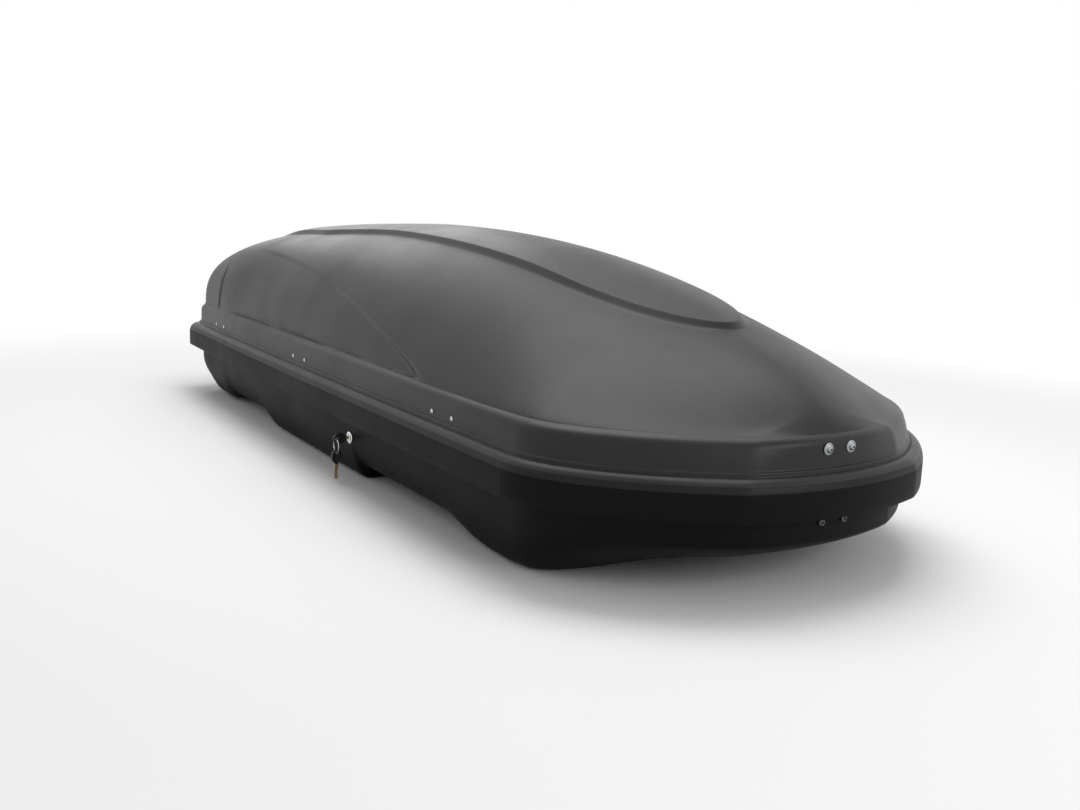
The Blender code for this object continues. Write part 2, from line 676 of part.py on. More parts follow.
# Hinges, far side
lid_tools, tray_tools = [], []
hinge_rise = RIVET_RISE - (HINGE_Z - SKIRT_Z)
for index, x in enumerate(FIXING_X, 1):
    extra = bulge(x)
    low, high = x - LEAF_HALF, x + LEAF_HALF
    face = HINGE_OFFSET - wall_at_rivets() - LID_WALL - 0.0008 + extra
    jog = 0.0376
    outline = [(face, 0.073), (face, jog + LEAF_THICK), (LEG, jog + LEAF_THICK), (LEG, 0),
               (LEG - LEAF_THICK, 0), (LEG - LEAF_THICK, jog), (face - LEAF_THICK, jog),
               (face - LEAF_THICK, 0.073)]
    leaf = prism(f"lid_leaf_{index}", outline, low, high, "yz", STEEL, hinge_line)
    bored(leaf, block("notch", (x - KNUCKLE_SPLIT - 0.0004, -0.001, -0.006),
                      (x + KNUCKLE_SPLIT + 0.0004, 0.006, 0.0090), parent=hinge_line))
    fused(leaf, rod("knuckle", KNUCKLE, (low - 0.0004, 0, 0), (x - KNUCKLE_SPLIT - 0.0008, 0, 0), parent=hinge_line),
          rod("knuckle", KNUCKLE, (x + KNUCKLE_SPLIT + 0.0008, 0, 0), (high + 0.0004, 0, 0), parent=hinge_line))
    holes = [rod("hole", RIVET_HOLE, (x + side * RIVET_SPREAD, face - 0.006, hinge_rise),
                 (x + side * RIVET_SPREAD, face + 0.012, hinge_rise), parent=hinge_line, sides=8)
             for side in (-1, 1)]
    bored(leaf, rod("bore", PIN_BORE, (low - 0.01, 0, 0), (high + 0.01, 0, 0), parent=hinge_line), *holes)
    wall = HINGE_OFFSET - TRAY_INSET + 0.0009 + extra
    outline = [(0, LEAF_THICK - LEG), (wall, LEAF_THICK - LEG), (wall, -0.032), (wall + LEAF_THICK, -0.032),
               (wall + LEAF_THICK, -LEG), (0, -LEG)]
    base_leaf = prism(f"tray_leaf_{index}", outline, low, high, "yz", STEEL, hinge_line)
    bored(base_leaf, block("side", (low - 0.01, -0.0062, -0.01), (x - KNUCKLE_SPLIT, 0.01, 0.01),
                           parent=hinge_line),
          block("side", (x + KNUCKLE_SPLIT, -0.0062, -0.01), (high + 0.01, 0.01, 0.01), parent=hinge_line))
    fused(base_leaf, rod("knuckle", KNUCKLE, (x - KNUCKLE_SPLIT + 0.0004, 0, 0),
                         (x + KNUCKLE_SPLIT - 0.0004, 0, 0), parent=hinge_line))
    bored(base_leaf, rod("bore", PIN_BORE, (low, 0, 0), (high, 0, 0), parent=hinge_line))
    fused(base_leaf, *[rod("head", 0.0034, (x + side * 0.026, wall + 0.001, -0.019),
                           (x + side * 0.026, wall + LEAF_THICK + 0.0014, -0.019), parent=hinge_line, sides=10)
                       for side in (-1, 1)])
    rod(f"hinge_pin_{index}", PIN, (low - 0.002, 0, 0), (high + 0.002, 0, 0), STEEL, hinge_line, sides=12)
    for side, letter in ((-1, "a"), (1, "b")):
        at = x + side * RIVET_SPREAD
        y = HINGE_OFFSET - wall_at_rivets() + bulge(at) + 0.0004
        rivet(f"hinge_rivet_{index}{letter}", hinge_line, at, y, hinge_rise, 1)
        lid_tools.append(rod("hole", RIVET_HOLE, (at, y - 0.010, hinge_rise), (at, y + 0.004, hinge_rise),
                             parent=hinge_line, sides=8))

# Catches, near side
inner = TRAY_INSET + TRAY_WALL
for index, x in enumerate(FIXING_X, 1):
    face = wall_at_rivets() + LID_WALL + 0.0008 - inner - bulge(x)
    outline = [(face, 0.086), (face, 0.054), (TONGUE_Y, 0.054), (TONGUE_Y, 0.004),
               (TONGUE_Y + LEAF_THICK, 0.004), (TONGUE_Y + LEAF_THICK, 0.054 + LEAF_THICK),
               (face + LEAF_THICK, 0.054 + LEAF_THICK), (face + LEAF_THICK, 0.086)]
    catch = prism(f"catch_{index}", outline, x - TONGUE_HALF, x + TONGUE_HALF, "yz", STEEL, lid_near_line)
    fused(catch, block("wing", (x - LEAF_HALF, face, 0.062), (x + LEAF_HALF, face + LEAF_THICK, 0.0855),
                       parent=lid_near_line),
          rod("peg", PEG, (x, TONGUE_Y + 0.001, PEG_Z), (x, 0.0135, PEG_Z), parent=lid_near_line, sides=14))
    bored(catch, *[rod("hole", RIVET_HOLE, (x + side * RIVET_SPREAD, face - 0.008, RIVET_RISE),
                       (x + side * RIVET_SPREAD, face + 0.008, RIVET_RISE), parent=lid_near_line, sides=8)
                   for side in (-1, 1)])
    for side, letter in ((-1, "a"), (1, "b")):
        at = x + side * RIVET_SPREAD
        y = wall_at_rivets() - inner - bulge(at) - 0.0004
        rivet(f"catch_rivet_{index}{letter}", lid_near_line, at, y, RIVET_RISE, -1)
        lid_tools.append(rod("hole", RIVET_HOLE, (at, y - 0.004, RIVET_RISE), (at, y + 0.010, RIVET_RISE),
                             parent=lid_near_line, sides=8))

# Lock rail and lock bar
rail = block("lock_rail", (RAIL_X[0], RAIL_Y[0], RAIL_Z[0]), (RAIL_X[1], RAIL_Y[1], RAIL_Z[1]), STEEL,
             near_line)
fused(rail, *[block("guide", (x - 0.008, RAIL_Y[0], RAIL_Z[0]), (x + 0.008, 0.0125, RAIL_Z[1]),
                    parent=near_line) for x in GUIDE_X])
bored(rail, block("tunnel", (-0.9, BAR_Y[0] - 0.0005, BAR_Z[0] - 0.0004),
                  (0.6, BAR_Y[1] + 0.0005, BAR_Z[1] + 0.0004), parent=near_line),
      block("relief", (LOCK_X - 0.022, -0.01, -0.05), (LOCK_X + 0.022, 0.02, -0.0268), parent=near_line))
bar_outline = []
bar_low, bar_high = BAR_Z
bar_start, bar_end = RAIL_X[0] + 0.004, RAIL_X[1] - 0.035
pin_x = LOCK_X - CAM_ARM * math.sin(CAM_TURN)
slot = CAM_PIN + 0.0015
bar_outline += [(bar_start, bar_low), (pin_x - 0.010, bar_low), (pin_x - 0.010, -0.034), (pin_x - slot, -0.034),
                (pin_x - slot, -0.0212), (pin_x + slot, -0.0212), (pin_x + slot, -0.034),
                (pin_x + 0.010, -0.034), (pin_x + 0.010, bar_low), (bar_end, bar_low), (bar_end, bar_high)]
hook_low, hook_high = PEG_Z + PEG + 0.0015, PEG_Z + PEG + 0.0080
for x in reversed(FIXING_X):
    bar_outline += [(x - 0.031, bar_high), (x - 0.031, hook_low), (x - 0.007, hook_low),
                    (x - 0.007, hook_high - 0.002), (x - 0.009, hook_high), (x - 0.042, hook_high),
                    (x - 0.042, bar_high)]
bar_outline = [point for point in bar_outline if point[0] >= bar_start - 1e-6]
bar_outline.append((bar_start, bar_high))
prism("lock_bar", bar_outline, BAR_Y[0], BAR_Y[1], "xz", STEEL, near_line)

ALONG_Y = (math.radians(-90), 0, 0)

# Lock body, nut, core and cam; each turns about the local y axis through the lock
lock_point = empty("lock_line", (LOCK_X, 0, LOCK_Z), 0, near_line)
skin = TRAY_INSET - inner - bulge(LOCK_X) + 0.0006
body = turned("lock_body", [(0.0063, skin - 0.0030), (0.0110, skin - 0.0030), (0.0125, skin - 0.0018),
                            (0.0125, skin - 0.0006), (0.0095, skin - 0.0006), (0.0095, 0.0070),
                            (0.0063, 0.0070), (0.0063, skin - 0.0030)], 16, CHROME, lock_point, turn=ALONG_Y)
turned("lock_nut", [(0.0102, 0.0010), (0.0133, 0.0010), (0.0133, 0.0042), (0.0102, 0.0042),
                    (0.0102, 0.0010)], 12, STEEL, lock_point, turn=ALONG_Y)
core = turned("lock_core", [(0, skin - 0.0036), (0.0054, skin - 0.0036), (0.0060, skin - 0.0030),
                            (0.0060, 0.0104), (0.0042, 0.0104), (0.0042, 0.0134), (0.0055, 0.0134),
                            (0.0055, 0.0150), (0, 0.0150)], 16, CHROME, lock_point, turn=ALONG_Y)
bored(core, block("keyway", (-0.0013, skin - 0.010, -0.0037), (0.0013, 0.0060, 0.0037), parent=lock_point))
arm_end = (-CAM_ARM * math.sin(CAM_TURN), CAM_ARM * math.cos(CAM_TURN))
cam = rod("lock_cam", 0.0082, (0, 0.0108, 0), (0, 0.0128, 0), STEEL, lock_point, sides=14)
side_step = Vector((math.cos(CAM_TURN), math.sin(CAM_TURN))) * 0.0045
web = [(side_step.x, side_step.y), (arm_end[0] + side_step.x * 0.8, arm_end[1] + side_step.y * 0.8),
       (arm_end[0] - side_step.x * 0.8, arm_end[1] - side_step.y * 0.8), (-side_step.x, -side_step.y)]
fused(cam, prism("web", web, 0.0110, 0.0126, "xz", parent=lock_point),
      rod("boss", 0.0045, (arm_end[0], 0.0106, arm_end[1]), (arm_end[0], 0.0130, arm_end[1]),
          parent=lock_point, sides=14),
      rod("pin", CAM_PIN, (arm_end[0], 0.0072, arm_end[1]), (arm_end[0], 0.0120, arm_end[1]),
          parent=lock_point, sides=12))
bored(cam, rod("bore", 0.0045, (0, 0.009, 0), (0, 0.014, 0), parent=lock_point, sides=14))


def bow_outline(middle_y, middle_z, reach_y, reach_z, count=18):
    """Return an oval outline in the y-z plane."""
    return [(middle_y + reach_y * math.cos(2 * math.pi * i / count),
             middle_z + reach_z * math.sin(2 * math.pi * i / count)) for i in range(count)]


key_line = empty("key_line", (0, 0, 0), 0, lock_point)
bow_end = BOW_Y + BOW_LONG
block("key_blade", (-0.0010, bow_end + 0.0003, -0.0033), (0.0010, 0.0055, 0.0033), BRASS, key_line)
bow = prism("key_bow", bow_outline(BOW_Y, 0, BOW_LONG, BOW_WIDE), -BOW_THICK, BOW_THICK, "yz", NYLON, key_line)
bored(bow, rod("hole", BOW_HOLE, (-0.01, HOLE_Y, 0), (0.01, HOLE_Y, 0), parent=key_line, sides=14))

ring_top = RING_TOP - LOCK_Z
ring_line = empty("ring_line", (0, HOLE_Y, ring_top), 0, lock_point)
bpy.ops.mesh.primitive_torus_add(major_radius=RING_RADIUS, minor_radius=RING_WIRE, major_segments=24,
                                 minor_segments=5)
ring = bpy.context.object
ring.data.transform(Matrix.Translation((0, 0, -RING_RADIUS)) @ Matrix.Rotation(math.radians(90), 4, "X"))
finish(ring, "key_ring", CHROME, ring_line)
spare_line = empty("spare_line", (0, 0, -2 * RING_RADIUS), 0, ring_line)
spare_z = -0.0012 - 0.0070
spare = prism("spare_bow", bow_outline(0, spare_z, BOW_WIDE, BOW_LONG), -BOW_THICK, BOW_THICK, "yz", NYLON,
              spare_line)
bored(spare, rod("hole", BOW_HOLE, (-0.01, 0, -0.0012), (0.01, 0, -0.0012), parent=spare_line, sides=14))
blade_top = spare_z - BOW_LONG - 0.0003
block("spare_blade", (-0.0010, -0.0033, blade_top - 0.0300), (0.0010, 0.0033, blade_top), BRASS, spare_line)

# Lifters
LID_HEAD = [(0, 0.0058), (0.0044, 0.0054), (0.0054, 0.0012), (WASHER, 0.0010), (WASHER, 0), (BOLT_SHANK, 0)]
TRAY_HEAD = [(0, 0.0036), (0.0042, 0.0034), (TRAY_BOLT_HEAD, 0.0020), (TRAY_BOLT_HEAD, 0), (BOLT_SHANK, 0)]


def bolt(name, head, line, x, y, rise, ahead, grip):
    """Return a bolt with its nut, pointing along x; ahead is +1 or -1."""
    profile = head + [(BOLT_SHANK, -grip), (0.0048, -grip), (0.0048, -grip - 0.0040), (0, -grip - 0.0040)]
    return turned(name, profile, 12, STEEL, line, (x, y, SKIRT_Z + rise), (0, math.radians(90 * ahead), 0))


def elbow():
    """Return the rest place of the elbow in the y-z plane, on the lock side of both pivots."""
    base, top = Vector(LIFT_BASE), Vector(LIFT_LID)
    span = (top - base).length
    along = (LOWER_ARM ** 2 - UPPER_ARM ** 2 + span ** 2) / (2 * span)
    aside = math.sqrt(LOWER_ARM ** 2 - along ** 2)
    axis = (top - base) / span
    return base + axis * along + Vector((-axis.y, axis.x)) * aside


def arm_outline(start, end):
    """Return the outline of a straight arm with round ends in the y-z plane."""
    heading = math.atan2(end[1] - start[1], end[0] - start[0])
    points = []
    for centre, base in ((end, heading - math.pi / 2), (start, heading + math.pi / 2)):
        points += [(centre[0] + ARM_HALF * math.cos(base + math.pi * i / 5),
                    centre[1] + ARM_HALF * math.sin(base + math.pi * i / 5)) for i in range(6)]
    return points


ELBOW = elbow()
for ahead, word in ((1, "front"), (-1, "rear")):
    middle_y = -ahead * math.tan(RIM_SLOPE)
    bolt_y = middle_y + BOLT_MIDDLE

    def span(near, far):
        """Return a low and a high x on this lifter's side of the box."""
        return (near, far) if ahead > 0 else (-far, -near)

    def path(points):
        """Return a plan outline on this lifter's side of the box."""
        return [(ahead * x, y) for x, y in points]

    flange = FLANGE_X
    lid_flange = flange
    upper_x = flange - 0.0145
    if ahead > 0:
        tray_face = nose_x(0.081, inner) - 0.0014
        lid_face = nose_x(0.075, wall_at_rivets() + LID_WALL) - 0.0024
        tray_skin, lid_skin = nose_x(BOLT_SPREAD, TRAY_INSET), nose_x(BOLT_SPREAD, 0.0272)
    else:
        tray_face, lid_face = HALF_LENGTH - inner - 0.0016, HALF_LENGTH - 0.0275 - LID_WALL - 0.0016
        tray_skin, lid_skin = HALF_LENGTH - TRAY_INSET, HALF_LENGTH - 0.0268
    y0, y1 = middle_y - 0.040, 0.066
    tray_bracket = prism(f"tray_bracket_{word}", path([
        (tray_face, y0), (tray_face, y1), (flange - SHEET, y1), (flange - SHEET, 0.038), (flange, 0.038),
        (flange, y1 - SHEET), (tray_face - SHEET, y1 - SHEET), (tray_face - SHEET, y0)]),
        -0.025, -0.001, "xy", BLACK_STEEL, lift_line)
    low, high = span(flange - 0.0085, flange - 0.001)
    head_low, head_high = span(flange - 0.0085, flange - 0.0070)
    fused(tray_bracket, rod("pin", LIFT_PIN, (low, *LIFT_BASE), (high, *LIFT_BASE), parent=lift_line, sides=12),
          rod("head", 0.0050, (head_low, *LIFT_BASE), (head_high, *LIFT_BASE), parent=lift_line, sides=14))
    low, high = span(tray_face - 0.01, tray_face + 0.01)
    bored(tray_bracket, *[rod("hole", BOLT_HOLE, (low, y, TRAY_BOLT_RISE), (high, y, TRAY_BOLT_RISE),
                              parent=lift_line, sides=12) for y in (bolt_y - BOLT_SPREAD, bolt_y + BOLT_SPREAD)])
    y1 = 0.060
    lid_bracket = prism(f"lid_bracket_{word}", path([
        (lid_face, y0), (lid_face, y1), (lid_flange, y1), (lid_flange, 0.114), (lid_flange - SHEET, 0.114),
        (lid_flange - SHEET, y1 - SHEET), (lid_face - SHEET, y1 - SHEET), (lid_face - SHEET, y0)]),
        0.079, 0.1005, "xy", BLACK_STEEL, lid_lift_line)
    low, high = span(upper_x - 0.0030, lid_flange - 0.001)
    head_low, head_high = span(upper_x - 0.0030, upper_x - 0.0015)
    fused(lid_bracket, rod("pin", LIFT_PIN, (low, *LIFT_LID), (high, *LIFT_LID), parent=lid_lift_line, sides=12),
          rod("head", 0.0050, (head_low, *LIFT_LID), (head_high, *LIFT_LID), parent=lid_lift_line, sides=14))
    low, high = span(lid_face - 0.01, lid_face + 0.01)
    bored(lid_bracket, *[rod("hole", BOLT_HOLE, (low, y, LID_BOLT_RISE), (high, y, LID_BOLT_RISE),
                             parent=lid_lift_line, sides=12) for y in (bolt_y - BOLT_SPREAD, bolt_y + BOLT_SPREAD)])
    low, high = span(flange - SHEET - 0.0005 - ARM_THICK, flange - SHEET - 0.0005)
    low_x = (low + high) / 2
    lower = prism(f"lower_arm_{word}", arm_outline(LIFT_BASE, ELBOW), low, high, "yz", BLACK_STEEL, lift_line)
    drum_low, drum_high = span(flange - SHEET - 0.0005 - ARM_THICK, flange + 0.0120)
    fused(lower, rod("drum", 0.0200, (drum_low, *ELBOW), (drum_high, *ELBOW), parent=lift_line, sides=16))
    bored(lower, rod("bore", LIFT_BORE, (low - 0.01, *LIFT_BASE), (high + 0.01, *LIFT_BASE), parent=lift_line,
                     sides=14),
          rod("bore", ELBOW_BORE, (drum_low - 0.01, *ELBOW), (drum_high + 0.01, *ELBOW), parent=lift_line,
              sides=16))
    low, high = span(upper_x, upper_x + 0.0040)
    upper = prism(f"upper_arm_{word}", arm_outline(LIFT_LID, ELBOW), low, high, "yz", BLACK_STEEL, lift_line)
    pin_low, pin_high = span(upper_x + 0.0020, flange + 0.0110)
    fused(upper, rod("disc", 0.0150, (low, *ELBOW), (high, *ELBOW), parent=lift_line, sides=14),
          rod("pin", LIFT_PIN, (pin_low, *ELBOW), (pin_high, *ELBOW), parent=lift_line, sides=12))
    bored(upper, rod("bore", LIFT_BORE, (low - 0.01, *LIFT_LID), (high + 0.01, *LIFT_LID), parent=lift_line,
                     sides=14))
    hang(lower, (low_x, *LIFT_BASE), lift_line)
    hang(upper, (upper_x * ahead, *LIFT_LID), lid_lift_line)
    for side, letter in ((-1, "a"), (1, "b")):
        y = BOLT_MIDDLE + side * BOLT_SPREAD
        x = ahead * (lid_skin + 0.0007)
        bolt(f"lid_bolt_{word}_{letter}", LID_HEAD, lid_line, x, y, LID_BOLT_RISE, ahead,
             lid_skin - lid_face + SHEET + 0.0020)
        lid_tools.append(rod("hole", BOLT_HOLE, (x - 0.01, y, SKIRT_Z + LID_BOLT_RISE),
                             (x + 0.01, y, SKIRT_Z + LID_BOLT_RISE), sides=8))
        x = ahead * (tray_skin + 0.0007)
        bolt(f"tray_bolt_{word}_{letter}", TRAY_HEAD, tray_line, x, y, TRAY_BOLT_RISE, ahead,
             tray_skin - tray_face + SHEET + 0.0020)
        tray_tools.append(rod("hole", BOLT_HOLE, (x - 0.01, y, SKIRT_Z + TRAY_BOLT_RISE),
                              (x + 0.01, y, SKIRT_Z + TRAY_BOLT_RISE), sides=8))

# Clamp plates on the floor of the tray, with slots through plate and floor
for x, word in zip(CLAMP_X, ("rear", "front")):
    for side, letter in ((-1, "near"), (1, "far")):
        y = side * CLAMP_Y
        floor = RECESS_Z + TRAY_WALL + 0.0005
        plate = block(f"clamp_plate_{word}_{letter}", (x - PLATE_LONG / 2, y - PLATE_WIDE / 2, floor),
                      (x + PLATE_LONG / 2, y + PLATE_WIDE / 2, floor + PLATE_THICK), STEEL)
        slots = [((x - SLOT_LONG / 2, y + step - SLOT_WIDE / 2), (x + SLOT_LONG / 2, y + step + SLOT_WIDE / 2))
                 for step in (-SLOT_Y, SLOT_Y)]
        bored(plate, *[block("slot", (*a, floor - 0.01), (*b, floor + 0.01)) for a, b in slots])
        tray_tools += [block("slot", (*a, floor - 0.02), (*b, floor + 0.01)) for a, b in slots]

tray_tools.append(rod("hole", 0.0100, (0, -0.02, 0), (0, 0.02, 0), parent=lock_point, sides=24))
boolean(lid, joined("lid_holes", lid_tools))
boolean(tray, joined("tray_holes", tray_tools))
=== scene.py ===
"""Looks of the roof box: formed ABS lid and tray, fixings, lock, keys and lifters, in a plain studio.

Units are metres, in the frame of the CAD: +X is the nose, -Y the side with the lock, +Z up, and the
keel of the tray stands at z = 0. The lid and the tray follow the driving dimensions of the CAD, apart from
the corners of the nose, which are drawn longer and softer here.
"""
import json
import logging
import math
from dataclasses import dataclass, field
from enum import Enum
from typing import Sequence

import bmesh
import bpy
import numpy as np
from mathutils import Matrix, Vector

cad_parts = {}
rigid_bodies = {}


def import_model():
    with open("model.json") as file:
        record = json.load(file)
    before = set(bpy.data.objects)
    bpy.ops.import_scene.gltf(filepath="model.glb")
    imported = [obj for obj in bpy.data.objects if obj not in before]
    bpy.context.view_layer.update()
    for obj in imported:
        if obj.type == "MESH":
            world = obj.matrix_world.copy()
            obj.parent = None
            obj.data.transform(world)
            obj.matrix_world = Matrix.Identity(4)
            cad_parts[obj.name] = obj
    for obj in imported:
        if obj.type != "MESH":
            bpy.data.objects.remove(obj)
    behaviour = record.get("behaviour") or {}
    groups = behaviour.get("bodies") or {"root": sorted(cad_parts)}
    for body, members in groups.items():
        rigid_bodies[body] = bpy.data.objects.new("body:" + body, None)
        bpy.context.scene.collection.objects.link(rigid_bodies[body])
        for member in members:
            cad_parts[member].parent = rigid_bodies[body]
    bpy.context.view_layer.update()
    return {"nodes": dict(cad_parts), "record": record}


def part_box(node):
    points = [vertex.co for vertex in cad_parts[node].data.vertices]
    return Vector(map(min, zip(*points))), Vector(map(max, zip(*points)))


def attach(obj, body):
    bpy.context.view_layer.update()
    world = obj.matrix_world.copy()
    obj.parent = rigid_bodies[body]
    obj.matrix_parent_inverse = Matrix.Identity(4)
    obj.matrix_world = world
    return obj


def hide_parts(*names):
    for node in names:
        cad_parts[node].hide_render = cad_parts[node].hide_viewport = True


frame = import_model()

LOG = logging.getLogger("roof_box")
Point = tuple[float, float]


def linear(colour: str) -> tuple[float, float, float, float]:
    """Turn an sRGB hex colour into linear light.

    Args:
        colour: The colour as "#rrggbb".

    Returns:
        Linear red, green and blue, with an alpha of 1.
    """
    channels = [int(colour[i:i + 2], 16) / 255 for i in (1, 3, 5)]
    return (*[c / 12.92 if c <= 0.04045 else ((c + 0.055) / 1.055) ** 2.4 for c in channels], 1.0)


def soft(value: np.ndarray | float) -> np.ndarray | float:
    """Return a soft step that rises from 0 to 1 while the value does."""
    value = np.clip(value, 0.0, 1.0)
    return value * value * (3 - 2 * value)


def ramp(value: np.ndarray | float, start: float, run: float) -> np.ndarray | float:
    """Return a soft step from 0 to 1 that starts at a value and ends a run past it."""
    return soft((value - start) / run)


def bezier(points: Sequence[Point], share: float) -> Point:
    """Return a point of a curve with any number of control points.

    Args:
        points: The control points.
        share: How far along the curve the point is, from 0 to 1.

    Returns:
        The point.
    """
    rest = [np.array(p, float) for p in points]
    while len(rest) > 1:
        rest = [a + (b - a) * share for a, b in zip(rest, rest[1:])]
    return float(rest[0][0]), float(rest[0][1])


# Finishes

# Share of the cells in the grain's height, how soft the cells are, and how many pores there are to a cell
CELL_SHARE, CELL_SOFTNESS, PORES_TO_CELL = 0.7, 0.35, 2.3
# How far the pattern of rolled metal is stretched along X
ROLLED_STRETCH = (0.06, 1.0, 1.0)
# Octaves of the relief of the surfaces that have no direction
DETAIL_OF_TEXTURE = {"SPRAYED": 1.0, "POLISHED": 5.0, "MOULDED": 2.0}


class Texture(Enum):
    """How a surface was made, which decides the pattern in its bump."""

    GRAINED = "sheet formed over a grained mould"
    SPRAYED = "powder sprayed and baked"
    ROLLED = "rolled sheet, plated"
    POLISHED = "polished and plated"
    MOULDED = "moulded in a fine matt mould"


def add_node(tree: bpy.types.NodeTree, kind: str, inputs: dict | None = None, **settings) -> bpy.types.Node:
    """Add a node with its settings, values and links.

    Args:
        tree: The node tree.
        kind: The node's type.
        inputs: A value, or the socket that feeds it, for each input by name or number.
        **settings: Properties of the node.

    Returns:
        The node.
    """
    node = tree.nodes.new(kind)
    for key, value in settings.items():
        setattr(node, key, value)
    for key, value in (inputs or {}).items():
        if isinstance(value, bpy.types.NodeSocket):
            tree.links.new(value, node.inputs[key])
        else:
            node.inputs[key].default_value = value
    return node


@dataclass(frozen=True)
class Finish:
    """A surface finish: its name, the record's slot, its colours, gloss and the size of its pattern."""

    name: str
    slot: str
    colour: str
    second_colour: str
    texture: Texture
    roughness: float
    metallic: float = 0.0
    ior: float = 1.5
    specular: float = 0.5
    grain_mm: float = 1.0
    depth_mm: float = 0.03
    patch_mm: float = 90.0
    patch_range: Point = (0.38, 0.66)
    gloss_spread: Point = (-0.03, 0.04)

    def material(self) -> bpy.types.Material:
        """Build the finish as a node material on Object coordinates.

        Returns:
            The material, the same one each time that it is asked for.
        """
        if self.name in bpy.data.materials:
            return bpy.data.materials[self.name]
        mat = bpy.data.materials.new(self.name)
        mat.use_nodes = True
        tree = mat.node_tree
        shader = tree.nodes["Principled BSDF"]
        place = add_node(tree, "ShaderNodeTexCoord").outputs["Object"]
        patches = add_node(tree, "ShaderNodeTexNoise", {
            "Vector": place, "Scale": 1000 / self.patch_mm, "Detail": 4.0, "Roughness": 0.6})
        share = add_node(tree, "ShaderNodeMapRange", {
            "Value": patches.outputs["Fac"], "From Min": self.patch_range[0],
            "From Max": self.patch_range[1]})
        # Inputs 6 and 7 and output 2 of a Mix node are its colours
        colour = add_node(tree, "ShaderNodeMix", {
            0: share.outputs["Result"], 6: linear(self.colour), 7: linear(self.second_colour)},
            data_type="RGBA")
        gloss = add_node(tree, "ShaderNodeMapRange", {
            "Value": share.outputs["Result"], "To Min": self.roughness + self.gloss_spread[0],
            "To Max": self.roughness + self.gloss_spread[1]})
        height = self.relief(tree, place)
        bump = add_node(tree, "ShaderNodeBump", {
            "Height": height, "Strength": 1.0, "Distance": self.depth_mm / 1000})
        shader.inputs["Metallic"].default_value = self.metallic
        if not self.metallic:
            shader.inputs["IOR"].default_value = self.ior
            shader.inputs["Specular IOR Level"].default_value = self.specular
        tree.links.new(colour.outputs[2], shader.inputs["Base Color"])
        tree.links.new(gloss.outputs["Result"], shader.inputs["Roughness"])
        tree.links.new(bump.outputs["Normal"], shader.inputs["Normal"])
        return mat

    def relief(self, tree: bpy.types.NodeTree, place: bpy.types.NodeSocket) -> bpy.types.NodeSocket:
        """Add the nodes of the small relief that the surface's making left on it.

        Args:
            tree: The material's node tree.
            place: The Object coordinates.

        Returns:
            The socket that gives the height, about 0 to 1.
        """
        scale = 1000 / self.grain_mm
        if self.texture is Texture.GRAINED:
            cells = add_node(tree, "ShaderNodeTexVoronoi", {
                "Vector": place, "Scale": scale, "Smoothness": CELL_SOFTNESS}, feature="SMOOTH_F1")
            pores = add_node(tree, "ShaderNodeTexNoise", {
                "Vector": place, "Scale": scale * PORES_TO_CELL, "Detail": 2.0})
            return add_node(tree, "ShaderNodeMath", {
                0: cells.outputs["Distance"], 1: CELL_SHARE, 2: pores.outputs["Fac"]},
                operation="MULTIPLY_ADD").outputs[0]
        if self.texture is Texture.ROLLED:
            drawn = add_node(tree, "ShaderNodeMapping", {"Vector": place, "Scale": ROLLED_STRETCH})
            return add_node(tree, "ShaderNodeTexNoise", {
                "Vector": drawn.outputs["Vector"], "Scale": scale, "Detail": 3.0}).outputs["Fac"]
        return add_node(tree, "ShaderNodeTexNoise", {
            "Vector": place, "Scale": scale, "Detail": DETAIL_OF_TEXTURE[self.texture.name]}).outputs["Fac"]


# Black ABS sheet, formed over a grained mould: soft broad highlights and a leather-like grain. The real grain
# is about 1.5 mm wide; it is drawn at 3.4 mm, because a finer one wouldn't show in the render.
GRAINED_ABS = Finish("black_grained_abs_sheet", "abs", "#171718", "#1c1c1d", Texture.GRAINED, 0.40, ior=1.54,
                     specular=0.26, grain_mm=3.4, depth_mm=0.12, patch_mm=160)
# The same sheet, darker and less glossy, where the lid turns from its shoulder into the skirt: painted shade,
# for the turn dimming as it faces away from the lamps
HALF_SHADED_ABS = Finish("black_abs_sheet_painted_half_shade", "abs", "#111112", "#151516", Texture.GRAINED, 0.45, ior=1.54,
                    specular=0.16, grain_mm=3.6, depth_mm=0.18, patch_mm=140)
# The same sheet on the skirt and the tray, darker and with less reflection still, with a coarser grain:
# painted shade on the faces that turn down and away from the lamps
SHADED_ABS = Finish("black_abs_sheet_painted_shade", "abs", "#0a0a0b", "#0e0e0f", Texture.GRAINED, 0.50, ior=1.54,
                  specular=0.07, grain_mm=3.8, depth_mm=0.20, patch_mm=120)
# The same sheet where it was trimmed after forming: a matt, slightly greyer edge
TRIMMED_ABS = Finish("black_abs_trimmed_edge", "abs", "#2e2e2f", "#3c3c3d", Texture.MOULDED, 0.62, ior=1.54,
                     specular=0.4, grain_mm=1.2, depth_mm=0.08, patch_mm=20)
# Bright zinc plate on rolled steel: pale bluish grey with a faint drawn direction
ZINC_STEEL = Finish("bright_zinc_plated_steel", "zinc_steel", "#b4b8bc", "#c6c9cb", Texture.ROLLED, 0.30,
                    metallic=1.0, grain_mm=1.2, depth_mm=0.02, patch_mm=24)
# Bright zinc plate on turned and pressed fixings: smoother, no drawn direction
ZINC_FIXING = Finish("bright_zinc_plated_fixings", "zinc_steel", "#bdbfc1", "#cdcfd0", Texture.POLISHED, 0.26,
                     metallic=1.0, grain_mm=0.9, depth_mm=0.01, patch_mm=6)
# Zinc plate dulled by passivation, on the lid's bolts: a soft silver with broad highlights
DULL_ZINC = Finish("passivated_zinc_plated_bolts", "zinc_steel", "#8e9092", "#a2a4a6", Texture.POLISHED, 0.36,
                   metallic=1.0, grain_mm=0.9, depth_mm=0.02, patch_mm=6)
